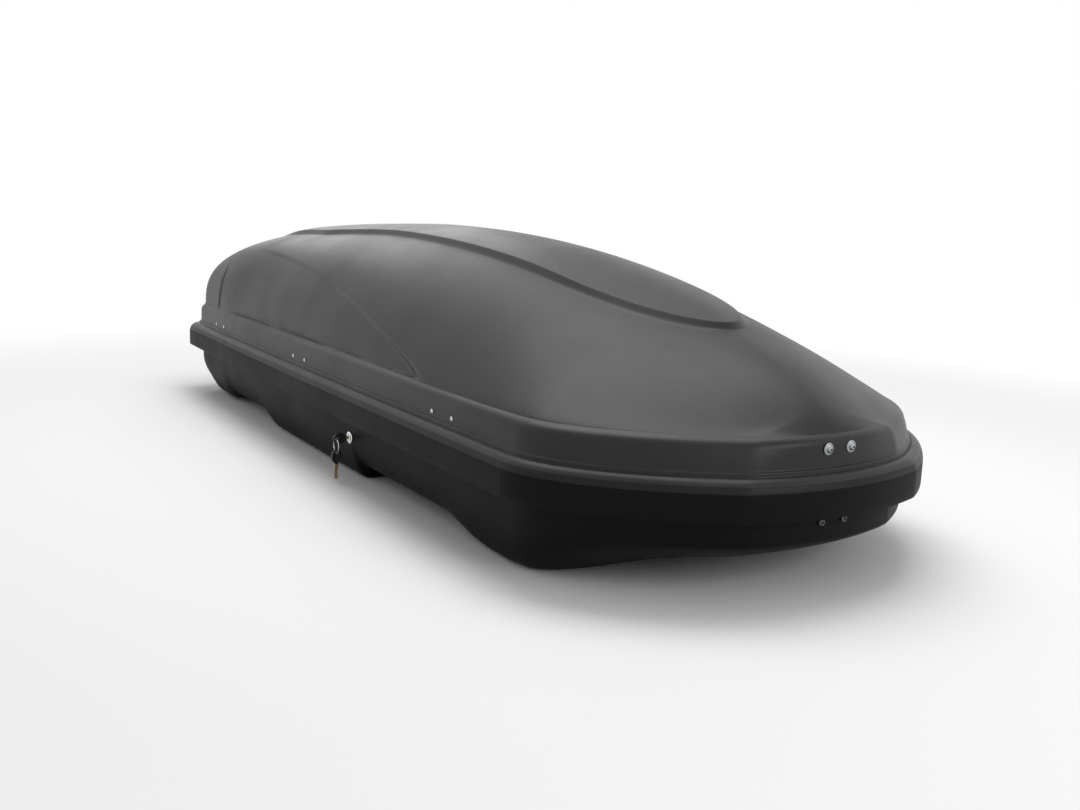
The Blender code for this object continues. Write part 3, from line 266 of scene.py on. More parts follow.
# Zinc plate in a dull dark grey, on the tray's bolts
GREY_ZINC = Finish("dark_grey_zinc_plated_bolts", "zinc_steel", "#4c4e50", "#5e6062", Texture.POLISHED, 0.44,
                   metallic=1.0, grain_mm=0.9, depth_mm=0.02, patch_mm=6)
# Black powder coat on steel: satin, with the slight orange peel of baked powder
POWDER_COAT = Finish("black_powder_coated_steel", "black_steel", "#17171a", "#1c1c1e", Texture.SPRAYED, 0.42,
                     ior=1.5, specular=0.4, grain_mm=2.4, depth_mm=0.05, patch_mm=60)
# Bright chrome plate: near mirror, with very faint haze
CHROME = Finish("bright_chrome_plate", "chrome", "#dcdddf", "#e6e6e7", Texture.POLISHED, 0.10,
                metallic=1.0, grain_mm=0.8, depth_mm=0.004, patch_mm=8)
# Moulded black nylon of the key bows: smooth, with a fine matt
BLACK_NYLON = Finish("black_moulded_nylon", "nylon", "#0f0f10", "#141415", Texture.MOULDED, 0.46, ior=1.53,
                     specular=0.4, grain_mm=0.7, depth_mm=0.03, patch_mm=10)
# Nickel-plated brass with its plating worn: warm grey going yellow
NICKEL_BRASS = Finish("worn_nickel_plated_brass", "nickel_brass", "#b5a27c", "#a08b58", Texture.ROLLED, 0.28,
                      metallic=1.0, grain_mm=0.6, depth_mm=0.01, patch_mm=5)
FINISH_OF_SLOT = {f.slot: f for f in (SHADED_ABS, ZINC_STEEL, POWDER_COAT, CHROME, BLACK_NYLON, NICKEL_BRASS)}


# Modelling helpers


def deselect() -> None:
    """Leave edit mode and deselect every object."""
    if bpy.context.object and bpy.context.object.mode != "OBJECT":
        bpy.ops.object.mode_set(mode="OBJECT")
    bpy.ops.object.select_all(action="DESELECT")


def pick(obj: bpy.types.Object) -> bpy.types.Object:
    """Make one object the only selected and active one.

    Args:
        obj: The object.

    Returns:
        The same object.
    """
    deselect()
    obj.select_set(True)
    bpy.context.view_layer.objects.active = obj
    return obj


def apply_modifier(obj: bpy.types.Object, kind: str, **settings) -> None:
    """Add a modifier with its settings and apply it.

    Args:
        obj: The object.
        kind: The modifier's type.
        **settings: Properties of the modifier.
    """
    pick(obj)
    modifier = obj.modifiers.new(kind.title(), kind)
    for key, value in settings.items():
        setattr(modifier, key, value)
    bpy.ops.object.modifier_apply(modifier=modifier.name)


def cut_away(obj: bpy.types.Object, tool: bpy.types.Object) -> None:
    """Cut an object with a tool and remove the tool."""
    apply_modifier(obj, "BOOLEAN", operation="DIFFERENCE", solver="EXACT", object=tool)
    bpy.data.objects.remove(tool, do_unlink=True)


def put(obj: bpy.types.Object, place: Vector, axis: Vector = Vector((0, 0, 1)), turn: float = 0.0) -> None:
    """Turn a mesh's local Z to an axis and move it to a place, all in its vertices.

    Args:
        obj: The object, at the origin.
        place: Where its origin goes.
        axis: Where its local Z points.
        turn: A turn about its local Z first.
    """
    track = Vector(axis).to_track_quat("Z", "Y").to_matrix().to_4x4()
    obj.data.transform(Matrix.Translation(place) @ track @ Matrix.Rotation(turn, 4, "Z"))


def copy_of(pattern: bpy.types.Object, name: str) -> bpy.types.Object:
    """Copy a piece, with a mesh of its own.

    Args:
        pattern: The piece to copy.
        name: The copy's name.

    Returns:
        The copy.
    """
    obj = bpy.data.objects.new(name, pattern.data.copy())
    bpy.context.scene.collection.objects.link(obj)
    return obj


def lathe(name: str, profile: Sequence[Point], steps: int = 40) -> bpy.types.Object:
    """Turn a profile about Z: one vertex is extruded along the profile and the line is spun.

    Args:
        name: The piece's name.
        profile: Points of (radius, height), from one end to the other.
        steps: Number of faces round the axis.

    Returns:
        The turned piece, at the origin.
    """
    deselect()
    bpy.ops.mesh.primitive_plane_add(size=0.001)
    obj = bpy.context.object
    obj.name = name
    bpy.ops.object.mode_set(mode="EDIT")
    bpy.ops.mesh.select_all(action="SELECT")
    bpy.ops.mesh.merge(type="CENTER")
    bpy.ops.transform.translate(value=(profile[0][0], 0, profile[0][1]))
    for (r0, z0), (r1, z1) in zip(profile, profile[1:]):
        bpy.ops.mesh.extrude_vertices_move(TRANSFORM_OT_translate={"value": (r1 - r0, 0, z1 - z0)})
    bpy.ops.mesh.select_all(action="SELECT")
    bpy.ops.mesh.spin(steps=steps, angle=2 * math.pi, center=(0, 0, 0), axis=(0, 0, 1))
    bpy.ops.mesh.select_all(action="SELECT")
    bpy.ops.mesh.remove_doubles(threshold=2e-6)
    bpy.ops.mesh.normals_make_consistent(inside=False)
    bpy.ops.object.mode_set(mode="OBJECT")
    return obj


def drum(radius: float, depth: float, sides: int) -> bpy.types.Object:
    """Add a plain cylinder at the origin, for shaping further or as a cutting tool.

    Args:
        radius: Its radius.
        depth: Its height.
        sides: Number of sides.

    Returns:
        The cylinder.
    """
    deselect()
    bpy.ops.mesh.primitive_cylinder_add(radius=radius, depth=depth, vertices=sides)
    return bpy.context.object


def brick(low: Sequence[float], high: Sequence[float]) -> bpy.types.Object:
    """Add a box, for shaping further or as a cutting tool.

    Args:
        low: Its lower corner.
        high: Its upper corner.

    Returns:
        The box.
    """
    deselect()
    low, high = Vector(low), Vector(high)
    bpy.ops.mesh.primitive_cube_add(size=1)
    bpy.context.object.data.transform(
        Matrix.Translation((low + high) / 2) @ Matrix.Diagonal((*(high - low), 1)))
    return bpy.context.object


def smooth_by_angle(obj: bpy.types.Object, degrees: float = 34) -> None:
    """Shade a piece smooth, apart from edges sharper than an angle."""
    pick(obj)
    bpy.ops.object.shade_smooth_by_angle(angle=math.radians(degrees))


SLOT_OF_NODE = {part["node"]: part["material_slot"] for part in frame["record"]["subparts"]}
BODY_OF_NODE = {
    node: body for body, nodes in frame["record"]["behaviour"]["bodies"].items() for node in nodes}
# How much the near side turns in towards the nose where the lock and the rivets are
SIDE_SLOPE = math.atan(0.0144)
# The height of the lid's lower edge, and the ends of the straight run of the side that every ring shares
SKIRT_Z = 0.128
SIDE_FRONT_X, SIDE_REAR_X = 0.690, -0.93


def dress(obj: bpy.types.Object, node: str, *finishes: Finish) -> None:
    """Give a finished piece its materials and its body, and let it stand for its CAD node.

    Args:
        obj: The piece.
        node: The CAD node that it replaces.
        *finishes: Its finishes, or none for the finish of the node's slot.
    """
    if obj.data.materials:
        obj.data.materials.clear()
    for finish in finishes or (FINISH_OF_SLOT[SLOT_OF_NODE[node]],):
        obj.data.materials.append(finish.material())
    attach(obj, BODY_OF_NODE[node])
    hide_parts(node)
    LOG.info("%s stands for %s, %d faces", obj.name, node, len(obj.data.polygons))


def sheet(name: str, rows: np.ndarray) -> bpy.types.Object:
    """Lay a grid over rows of points, with the row and column of each vertex kept as attributes.

    Args:
        name: The piece's name.
        rows: Points as an array of rows, columns and coordinates.

    Returns:
        The open sheet, facing out.
    """
    height, width = rows.shape[:2]
    deselect()
    bpy.ops.mesh.primitive_grid_add(x_subdivisions=width - 1, y_subdivisions=height - 1, size=1)
    obj = bpy.context.object
    obj.name = name
    mesh = obj.data
    mesh.vertices.foreach_set("co", rows.reshape(-1))
    for label, index in (("row", 0), ("column", 1)):
        layer = mesh.attributes.new(label, "FLOAT", "POINT")
        layer.data.foreach_set("value", np.indices((height, width))[index].reshape(-1).astype(np.float32))
    mesh.update()
    return obj


# The formed sheets


@dataclass(frozen=True)
class Rim:
    """Plan outline of the lid's lower edge. Every ring of lid and tray is this outline, set inwards."""

    half_length: float = 1.050
    half_width: float = 0.395
    side_bow: float = 0.0085
    side_taper: float = 0.013
    nose_bow: float = 0.155
    nose_corner_width: float = 0.230
    nose_corner_length: float = 0.145
    tail_corner: float = 0.050
    tail_bow: float = 0.0094
    corner_pull: float = 0.61
    counts: tuple[int, int, int, int] = (24, 36, 14, 14)

    def side_y(self, x: float, inset: float) -> float:
        """Return the near-side y of the outline at x."""
        share = x / self.half_length
        return -(self.half_width - inset) + self.side_bow * share ** 2 - self.side_taper * share

    def nose_x(self, y: float, inset: float) -> float:
        """Return the x of the bowed front of the outline at y."""
        return self.half_length - inset - self.nose_bow * (y / self.half_width) ** 2

    def tail_x(self, y: float, inset: float) -> float:
        """Return the x of the slightly bowed rear of the outline at y."""
        return -self.half_length + inset + self.tail_bow * (y / self.half_width) ** 2

    def corner(self, start: Point, tip: Point, end: Point, count: int) -> list[Point]:
        """Return the points of a rounded corner.

        Args:
            start: Where the corner starts.
            tip: Where its two sides would meet.
            end: Where it ends.
            count: Number of steps.

        Returns:
            The points, with both ends.
        """
        start, tip, end = np.array(start), np.array(tip), np.array(end)
        curve = (start, start + (tip - start) * self.corner_pull, end + (tip - end) * self.corner_pull, end)
        return [bezier(curve, i / count) for i in range(count + 1)]

    def near_half(self, inset: float, side_x: Sequence[float], counts: Sequence[int] = ()) -> np.ndarray:
        """Return the near half of the outline from the front middle to the rear middle.

        Args:
            inset: How far the outline is set inwards.
            side_x: The x of each point along the side.
            counts: Steps along the nose, its corner, the tail's corner and the tail.

        Returns:
            Plan points, one row each.
        """
        nose, nose_corner, tail_corner, tail = counts or self.counts
        front_y = rear_y = -self.half_width + inset
        for _ in range(12):
            front_y = self.side_y(self.nose_x(front_y, inset), inset)
            rear_y = self.side_y(self.tail_x(rear_y, inset), inset)
        front, rear = (self.nose_x(front_y, inset), front_y), (self.tail_x(rear_y, inset), rear_y)
        bow_y, tail_y = front_y + self.nose_corner_width, rear_y + self.tail_corner
        start, end = front[0] - self.nose_corner_length, rear[0] + self.tail_corner
        points = [(self.nose_x(bow_y * i / nose, inset), bow_y * i / nose) for i in range(nose)]
        points += self.corner((self.nose_x(bow_y, inset), bow_y), front, (start, self.side_y(start, inset)),
                              nose_corner)
        points += [(x, self.side_y(x, inset)) for x in side_x]
        points += self.corner((end, self.side_y(end, inset)), rear, (self.tail_x(tail_y, inset), tail_y),
                              tail_corner)
        points += [(self.tail_x(tail_y * (1 - i / tail), inset), tail_y * (1 - i / tail))
                   for i in range(1, tail + 1)]
        return np.array(points)


@dataclass
class LidShell:
    """The lid: one formed sheet with its skirt, shoulder, bead, wall, crown, raised band and side panels.

    A pair that ends in _zone, _x or _z, or starts with lean_from, is where a change starts along its axis
    and how long it takes, apart from scored_x, which is a pair of limits. A triple puts the change's size
    before them.
    """

    rim: Rim = field(default_factory=Rim)
    skirt_z: float = SKIRT_Z
    thick: float = 0.0035
    painted_shade_rise: Point = (0.041, 0.052)
    bead_rise: float = 0.0667
    crease_inset: float = 0.040
    crease_rise: float = 0.112
    shelf: Point = (0.0362, 0.1103)
    wall_zone: Point = (0.0262, 0.0138)
    tail_wall_shift: float = 0.014
    tail_zone: Point = (0.80, 0.20)
    nose_lean: float = 0.012
    lean_power: float = 1.5
    lean_from_x: Point = (0.60, 0.26)
    lean_from_y: Point = (0.05, 0.12)
    crown_rise: float = 0.2404
    crown_ease: float = 1.08
    crown_x: float = -0.219
    crown_span: float = 1.035
    nose_power: float = 2.372
    nose_round: float = 0.666
    tail_power: float = 1.115
    tail_round: float = 0.099
    side_power: Point = (1.973, 0.428)
    side_round: Point = (0.580, 0.254)
    nose_fall: tuple[float, float, float] = (0.550, 0.35, 0.60)
    band_rise: float = 0.010
    band_half: float = 0.118
    band_flare: float = 0.050
    band_nose_x: float = 0.775
    band_taper_x: float = 0.420
    band_tail_x: float = -0.930
    band_step: float = 0.014
    band_tip: Point = (2.6, 0.55)
    band_flare_x: Point = (0.10, 0.60)
    band_fade: float = 0.20
    band_nose_drop: tuple[float, float, float] = (0.10, 0.30, 0.40)
    band_crowding: float = 0.42
    band_lead: tuple[float, float, float] = (0.010, 0.30, 0.4)
    middle_half: float = 0.12
    middle_pull: float = 0.93
    first_step: float = 0.001
    row_power: float = 2.1
    panel_depth: float = 0.011
    arc_point: tuple[float, float, float] = (-0.077, -0.307, 0.208)
    arc_normal: tuple[float, float, float] = (0.055, 0.965, -0.257)
    arc_step: float = 0.018
    arc_lead: float = 0.009
    arc_run: float = 0.200
    arc_cuts: tuple[float, ...] = (-0.0060, -0.0045, -0.0032, -0.0020, -0.0010, 0.0, 0.0010, 0.0020, 0.0032,
                                   0.0046, 0.0064, 0.0090, 0.0150)
    tail_point: tuple[float, float, float] = (-0.853, -0.323, 0.185)
    tail_normal: tuple[float, float, float] = (0.609, 0.785, -0.115)
    tail_step: float = 0.004
    panel_foot: float = 0.0025
    panel_lift: float = 0.0004
    panel_edge_y: float = 0.12
    arc_share: float = 0.78
    arc_grazing: float = 0.02
    rear_shallow: tuple[float, float, float] = (0.80, 0.55, 0.28)
    rear_fade_x: Point = (0.45, 0.40)
    rear_fade_z: Point = (0.20, 0.06)
    scored_x: Point = (-0.99, 0.48)
    scored_y: float = -0.13
    side_x: tuple[float, ...] = tuple(np.linspace(SIDE_FRONT_X, SIDE_REAR_X, 78))

    def __post_init__(self) -> None:
        """Look up the half width of the crease along the lid, for the crown."""
        side_x = tuple(np.linspace(SIDE_FRONT_X, SIDE_REAR_X, 40))
        fine = self.outline(self.crease_inset, self.crease_rise, side_x, (24, 24, 10, 12))
        self.crease_z = self.skirt_z + self.crease_rise
        self.width_x = fine[:, 0] - self.shift(fine[:, 0], self.crease_inset)
        self.width_y = -fine[:, 1]

    def outline(self, inset: float, rise: float, side_x: Sequence[float],
                counts: Sequence[int] = ()) -> np.ndarray:
        """Return a ring's plan, which leans in above the bead at the corners of the nose.

        Args:
            inset: How far the ring is set inwards.
            rise: Its height over the lid's lower edge.
            side_x: The x of each point along the side.
            counts: Steps along the nose, its corner, the tail's corner and the tail.

        Returns:
            Plan points from rear to front, one row each.
        """
        plan = self.rim.near_half(inset, side_x, counts)[::-1]
        above = np.clip((rise - self.bead_rise) / (self.crease_rise - self.bead_rise), 0, 1)
        lean = self.nose_lean * above ** self.lean_power
        if lean == 0:
            return plan
        share = ramp(plan[:, 0], *self.lean_from_x) * ramp(np.abs(plan[:, 1]), *self.lean_from_y)
        return plan + share[:, None] * (self.rim.near_half(inset + lean, side_x, counts)[::-1] - plan)

    def shift(self, x: np.ndarray, inset: float) -> np.ndarray:
        """Return how far back the wall stands at the tail, where it is steeper than at the sides."""
        return self.tail_wall_shift * ramp(inset, *self.wall_zone) * ramp(-x, *self.tail_zone)

    def crown(self, plan: np.ndarray) -> np.ndarray:
        """Return the height of the crown over plan points inside the crease.

        Args:
            plan: Points of x and y, one row each.

        Returns:
            Their heights.
        """
        x, y = plan[:, 0], plan[:, 1]
        across = np.minimum(1.0, np.abs(y) / np.maximum(np.interp(x, self.width_x, self.width_y), 1e-4))
        ahead = np.clip((x - self.crown_x) / (self.width_x[-1] - self.crown_x), 0, 1)
        behind = np.clip((self.crown_x - x) / (self.crown_x - self.width_x[0]), 0, 1)
        lengthwise = np.where(x > self.crown_x, (1 - ahead ** self.nose_power) ** self.nose_round,
                              (1 - behind ** self.tail_power) ** self.tail_round)
        power = self.side_power[0] - self.side_power[1] * x / self.crown_span
        rounding = self.side_round[0] + self.side_round[1] * x / self.crown_span
        fall, fall_x, fall_long = self.nose_fall
        share = lengthwise * (1 - across ** power) ** rounding
        share *= 1 - fall * np.clip((x - fall_x) / fall_long, 0, 1) ** 2 * across ** 2
        return self.crease_z + self.crown_rise * share ** self.crown_ease

    def band_width(self, x: np.ndarray) -> np.ndarray:
        """Return the half width of the raised band's top.

        Args:
            x: Places along the lid.

        Returns:
            The half width at each place.
        """
        nose = np.clip((x - self.band_taper_x) / (self.band_nose_x - self.band_taper_x), 0, 1)
        start, run = self.band_flare_x
        flare = self.band_flare * np.clip((-x - start) / run, 0, 1) ** 2
        return self.band_half * (1 - nose ** self.band_tip[0]) ** self.band_tip[1] + flare

    def band_lift(self, x: np.ndarray) -> np.ndarray:
        """Return the rise of the band at x, which fades out at the tail and is lower over the nose."""
        drop, start, run = self.band_nose_drop
        return self.band_rise * ramp(x, self.band_tail_x, self.band_fade) * (1 - drop * ramp(x, start, run))

    def section(self) -> list[tuple[Point, Point | None]]:
        """Draw the section below the crease.

        The bead is tighter than the sheet is thick, so its inner face is drawn rather than offset.

        Returns:
            Insets and rises of the outer face, each with those of the inner face where it is drawn.
        """
        shoulder = ((0.0, 0.034), (0.0003, 0.0505), (0.0085, 0.0592), (0.0194, 0.0610))
        under = ((0.0035, 0.034), (0.0038, 0.0475), (0.0100, 0.0556), (0.0200, 0.0572))
        pairs = [((0.0008, 0.0), (0.0035, 0.0)), ((0.0, 0.0010), (0.0035, 0.0010)),
                 ((0.0, 0.012), (0.0035, 0.012)), ((0.0, 0.024), (0.0035, 0.024))]
        pairs += [(bezier(shoulder, i / 11), bezier(under, i / 11)) for i in range(12)]
        pairs += [((0.0200, 0.0608), (0.0208, 0.0572)), ((0.0205, 0.0602), (0.0214, 0.0571)),
                  ((0.0211, 0.0599), (0.0220, 0.0571)), ((0.0217, 0.0600), (0.0227, 0.0573)),
                  ((0.0221, 0.0605), (0.0234, 0.0577)), ((0.0223, 0.0617), (0.0241, 0.0583)),
                  ((0.0225, 0.0632), (0.0248, 0.0590)), ((0.0227, 0.0649), (0.0256, 0.0598)),
                  ((0.0229, 0.0657), (0.0263, 0.0607)), ((0.0234, 0.0663), (0.0270, 0.0617)),
                  ((0.0242, 0.0666), (0.0277, 0.0626)), ((0.0255, 0.0668), (0.0285, 0.0634)),
                  ((0.0261, 0.0671), (0.0291, 0.0644)), ((0.0264, 0.0678), (0.0296, 0.0658)),
                  ((0.0266, 0.0700), (0.0300, 0.0690)), ((0.0269, 0.0800), (0.0304, 0.0800)),
                  ((0.0272, 0.0900), (0.0307, 0.0900)), ((0.0275, 0.0980), None), ((0.0279, 0.1010), None),
                  ((0.0290, 0.1040), None), ((0.0308, 0.1065), None), ((0.0332, 0.1086), None)]
        return pairs

    def ring(self, inset: float, rise: float, shift_inset: float | None = None) -> np.ndarray:
        """Return one ring of the near half below the crease.

        Args:
            inset: How far the ring is set inwards.
            rise: Its height over the lid's lower edge.
            shift_inset: The inset that sets its shift at the tail, where it isn't the ring's own.

        Returns:
            Points from rear to front.
        """
        plan = self.outline(inset, rise, self.side_x)
        x = plan[:, 0] - self.shift(plan[:, 0], inset if shift_inset is None else shift_inset)
        return np.column_stack((x, plan[:, 1], np.full(len(x), self.skirt_z + rise)))

    def rows(self) -> np.ndarray:
        """Lay out the near half from the trimmed edge to the middle line.

        Returns:
            Points as an array of rings, columns and coordinates.
        """
        rows = [self.ring(*outer) for outer, _ in self.section()]
        shelf, crease = self.ring(*self.shelf), self.ring(self.crease_inset, self.crease_rise)
        share = (crease[:, 0] - crease[0, 0]) / (crease[-1, 0] - crease[0, 0])
        band_x = self.band_tail_x + (self.band_nose_x - self.band_tail_x) * share
        side = np.abs(crease[:, 1])
        half = np.minimum(self.band_width(band_x), side * self.band_crowding)
        spread = np.minimum(1.0, side / self.middle_half)
        top = np.column_stack((band_x, -half))
        lead, run, loss = self.band_lead
        foot = np.column_stack((
            band_x + lead * ramp(band_x, self.band_taper_x, run) * (1 - loss * spread),
            -(half + self.band_step * spread)))
        middle = np.column_stack((band_x * self.middle_pull, np.zeros(len(band_x))))

        def over(plan: np.ndarray, lift: float = 0.0) -> np.ndarray:
            """Raise plan points to the crown, and by a share of the band's rise."""
            return np.column_stack((plan, self.crown(plan) + lift * self.band_lift(plan[:, 0])))

        start = self.first_step
        first = over(crease[:, :2] + (foot - crease[:, :2]) * start)
        for t in np.linspace(0, 1, 6)[:-1]:
            rows.append(shelf * (1 - t) ** 2 + crease * 2 * t * (1 - t) + first * t ** 2)
        for t in start + (1 - start) * np.linspace(0, 1, 42) ** self.row_power:
            rows.append(over(crease[:, :2] + (foot - crease[:, :2]) * t))
        for t in (0.14, 0.28, 0.42, 0.56, 0.70, 0.84, 0.94, 1.0):
            rows.append(over(foot + (top - foot) * t, 2 * t ** 2 - t ** 3))
        for t in (0.012, 0.05, 0.12, 0.22, 0.34, 0.48, 0.62, 0.76, 0.88, 1.0):
            rows.append(over(top + (middle - top) * t, 1.0))
        return np.array(rows)

    def sink(self, points: np.ndarray, normals: np.ndarray) -> np.ndarray:
        """Return how far each point of the near half moves in where the side panel is recessed.

        The arc's plane lies nearly along the side, so its step is measured along the surface.

        Args:
            points: Points of the plain crown.
            normals: Its normals there.

        Returns:
            The distance for each point.
        """
        up = np.array((0, 0, self.skirt_z))
        arc, tail = (np.array(n) / np.linalg.norm(n) for n in (self.arc_normal, self.tail_normal))
        outside = -(points - np.array(self.arc_point) - up) @ arc
        outside = outside / np.sqrt(np.clip(1 - (normals @ arc) ** 2, self.arc_grazing, 1)) + self.arc_lead
        ahead = (points - np.array(self.tail_point) - up) @ tail
        x, z = points[:, 0], points[:, 2]
        depth = (self.arc_share * soft(outside / self.arc_step)
                 + (1 - self.arc_share) * soft(outside / self.arc_run))
        loss, start, run = self.rear_shallow
        depth *= 1 - loss * ramp(-x, start, run)
        fade = 1 - ramp(-x, *self.rear_fade_x) * ramp(z - self.skirt_z, *self.rear_fade_z)
        gate = soft(ahead / self.tail_step) * ramp(z - self.crease_z, self.panel_lift, self.panel_foot)
        return self.panel_depth * depth * fade * gate * (points[:, 1] < -self.panel_edge_y)

    def score(self, obj: bpy.types.Object) -> None:
        """Cut the near half along both steps of the side panel, so that they have faces of their own.

        Args:
            obj: The sheet of the near half.
        """
        arc, tail = Vector(self.arc_normal).normalized(), Vector(self.tail_normal).normalized()
        arc_at = Vector(self.arc_point) + Vector((0, 0, self.skirt_z))
        tail_at = Vector(self.tail_point) + Vector((0, 0, self.skirt_z))
        planes = [(arc_at - arc * s, arc) for s in self.arc_cuts]
        planes += [(tail_at + tail * self.tail_step * s, tail) for s in (0, 0.33, 0.66, 1.0)]
        pick(obj)
        bpy.ops.object.mode_set(mode="EDIT")
        for point, normal in planes:
            shape = bmesh.from_edit_mesh(obj.data)
            for face in shape.faces:
                middle = face.calc_center_median()
                face.select_set(middle.z > self.crease_z and middle.y < self.scored_y
                                and self.scored_x[0] < middle.x < self.scored_x[1])
            bmesh.update_edit_mesh(obj.data)
            bpy.ops.mesh.bisect(plane_co=point, plane_no=normal, threshold=1e-5)
        bpy.ops.object.mode_set(mode="OBJECT")

    def build(self) -> bpy.types.Object:
        """Model the lid's sheet: half an outer face, its panel, its mirror image and its thickness.

        Returns:
            The closed shell.
        """
        obj = sheet("lid_formed_sheet", self.rows())
        self.score(obj)
        points, normals = (np.zeros(len(obj.data.vertices) * 3) for _ in range(2))
        obj.data.vertices.foreach_get("co", points)
        obj.data.vertices.foreach_get("normal", normals)
        points = points.reshape(-1, 3)
        points[:, 1] += self.sink(points, normals.reshape(-1, 3))
        obj.data.vertices.foreach_set("co", points.reshape(-1))
        apply_modifier(obj, "MIRROR", use_axis=(False, True, False), use_clip=True, merge_threshold=1e-4)
        count = len(obj.data.vertices)
        apply_modifier(obj, "SOLIDIFY", thickness=self.thick, offset=-1, material_offset_rim=1)
        self.line_bead(obj, count)
        # The turn into the skirt takes the third finish, a painted half shade, and the skirt below it the
        # fourth, a deeper painted shade
        for face in obj.data.polygons:
            if face.material_index == 0 and face.center.z < self.skirt_z + self.painted_shade_rise[1]:
                face.material_index = 2 if face.center.z > self.skirt_z + self.painted_shade_rise[0] else 3
        smooth_by_angle(obj, 40)
        return obj

    def line_bead(self, obj: bpy.types.Object, count: int) -> None:
        """Move the inner face under the bead and the shoulder onto its drawn section.

        Args:
            obj: The closed shell.
            count: Number of vertices of the outer face, which come first.
        """
        inner = [self.ring(*under, outer[0]) if under else None for outer, under in self.section()]
        mesh = obj.data
        row, column = (np.zeros(len(mesh.vertices), np.float32) for _ in range(2))
        mesh.attributes["row"].data.foreach_get("value", row)
        mesh.attributes["column"].data.foreach_get("value", column)
        for vert in mesh.vertices[count:]:
            r, c = round(float(row[vert.index])), round(float(column[vert.index]))
            if r < len(inner) and inner[r] is not None:
                x, y, z = inner[r][c]
                vert.co = (x, y if vert.co.y < 0 else -y, z)
        for label in ("row", "column"):
            mesh.attributes.remove(mesh.attributes[label])
        mesh.update()


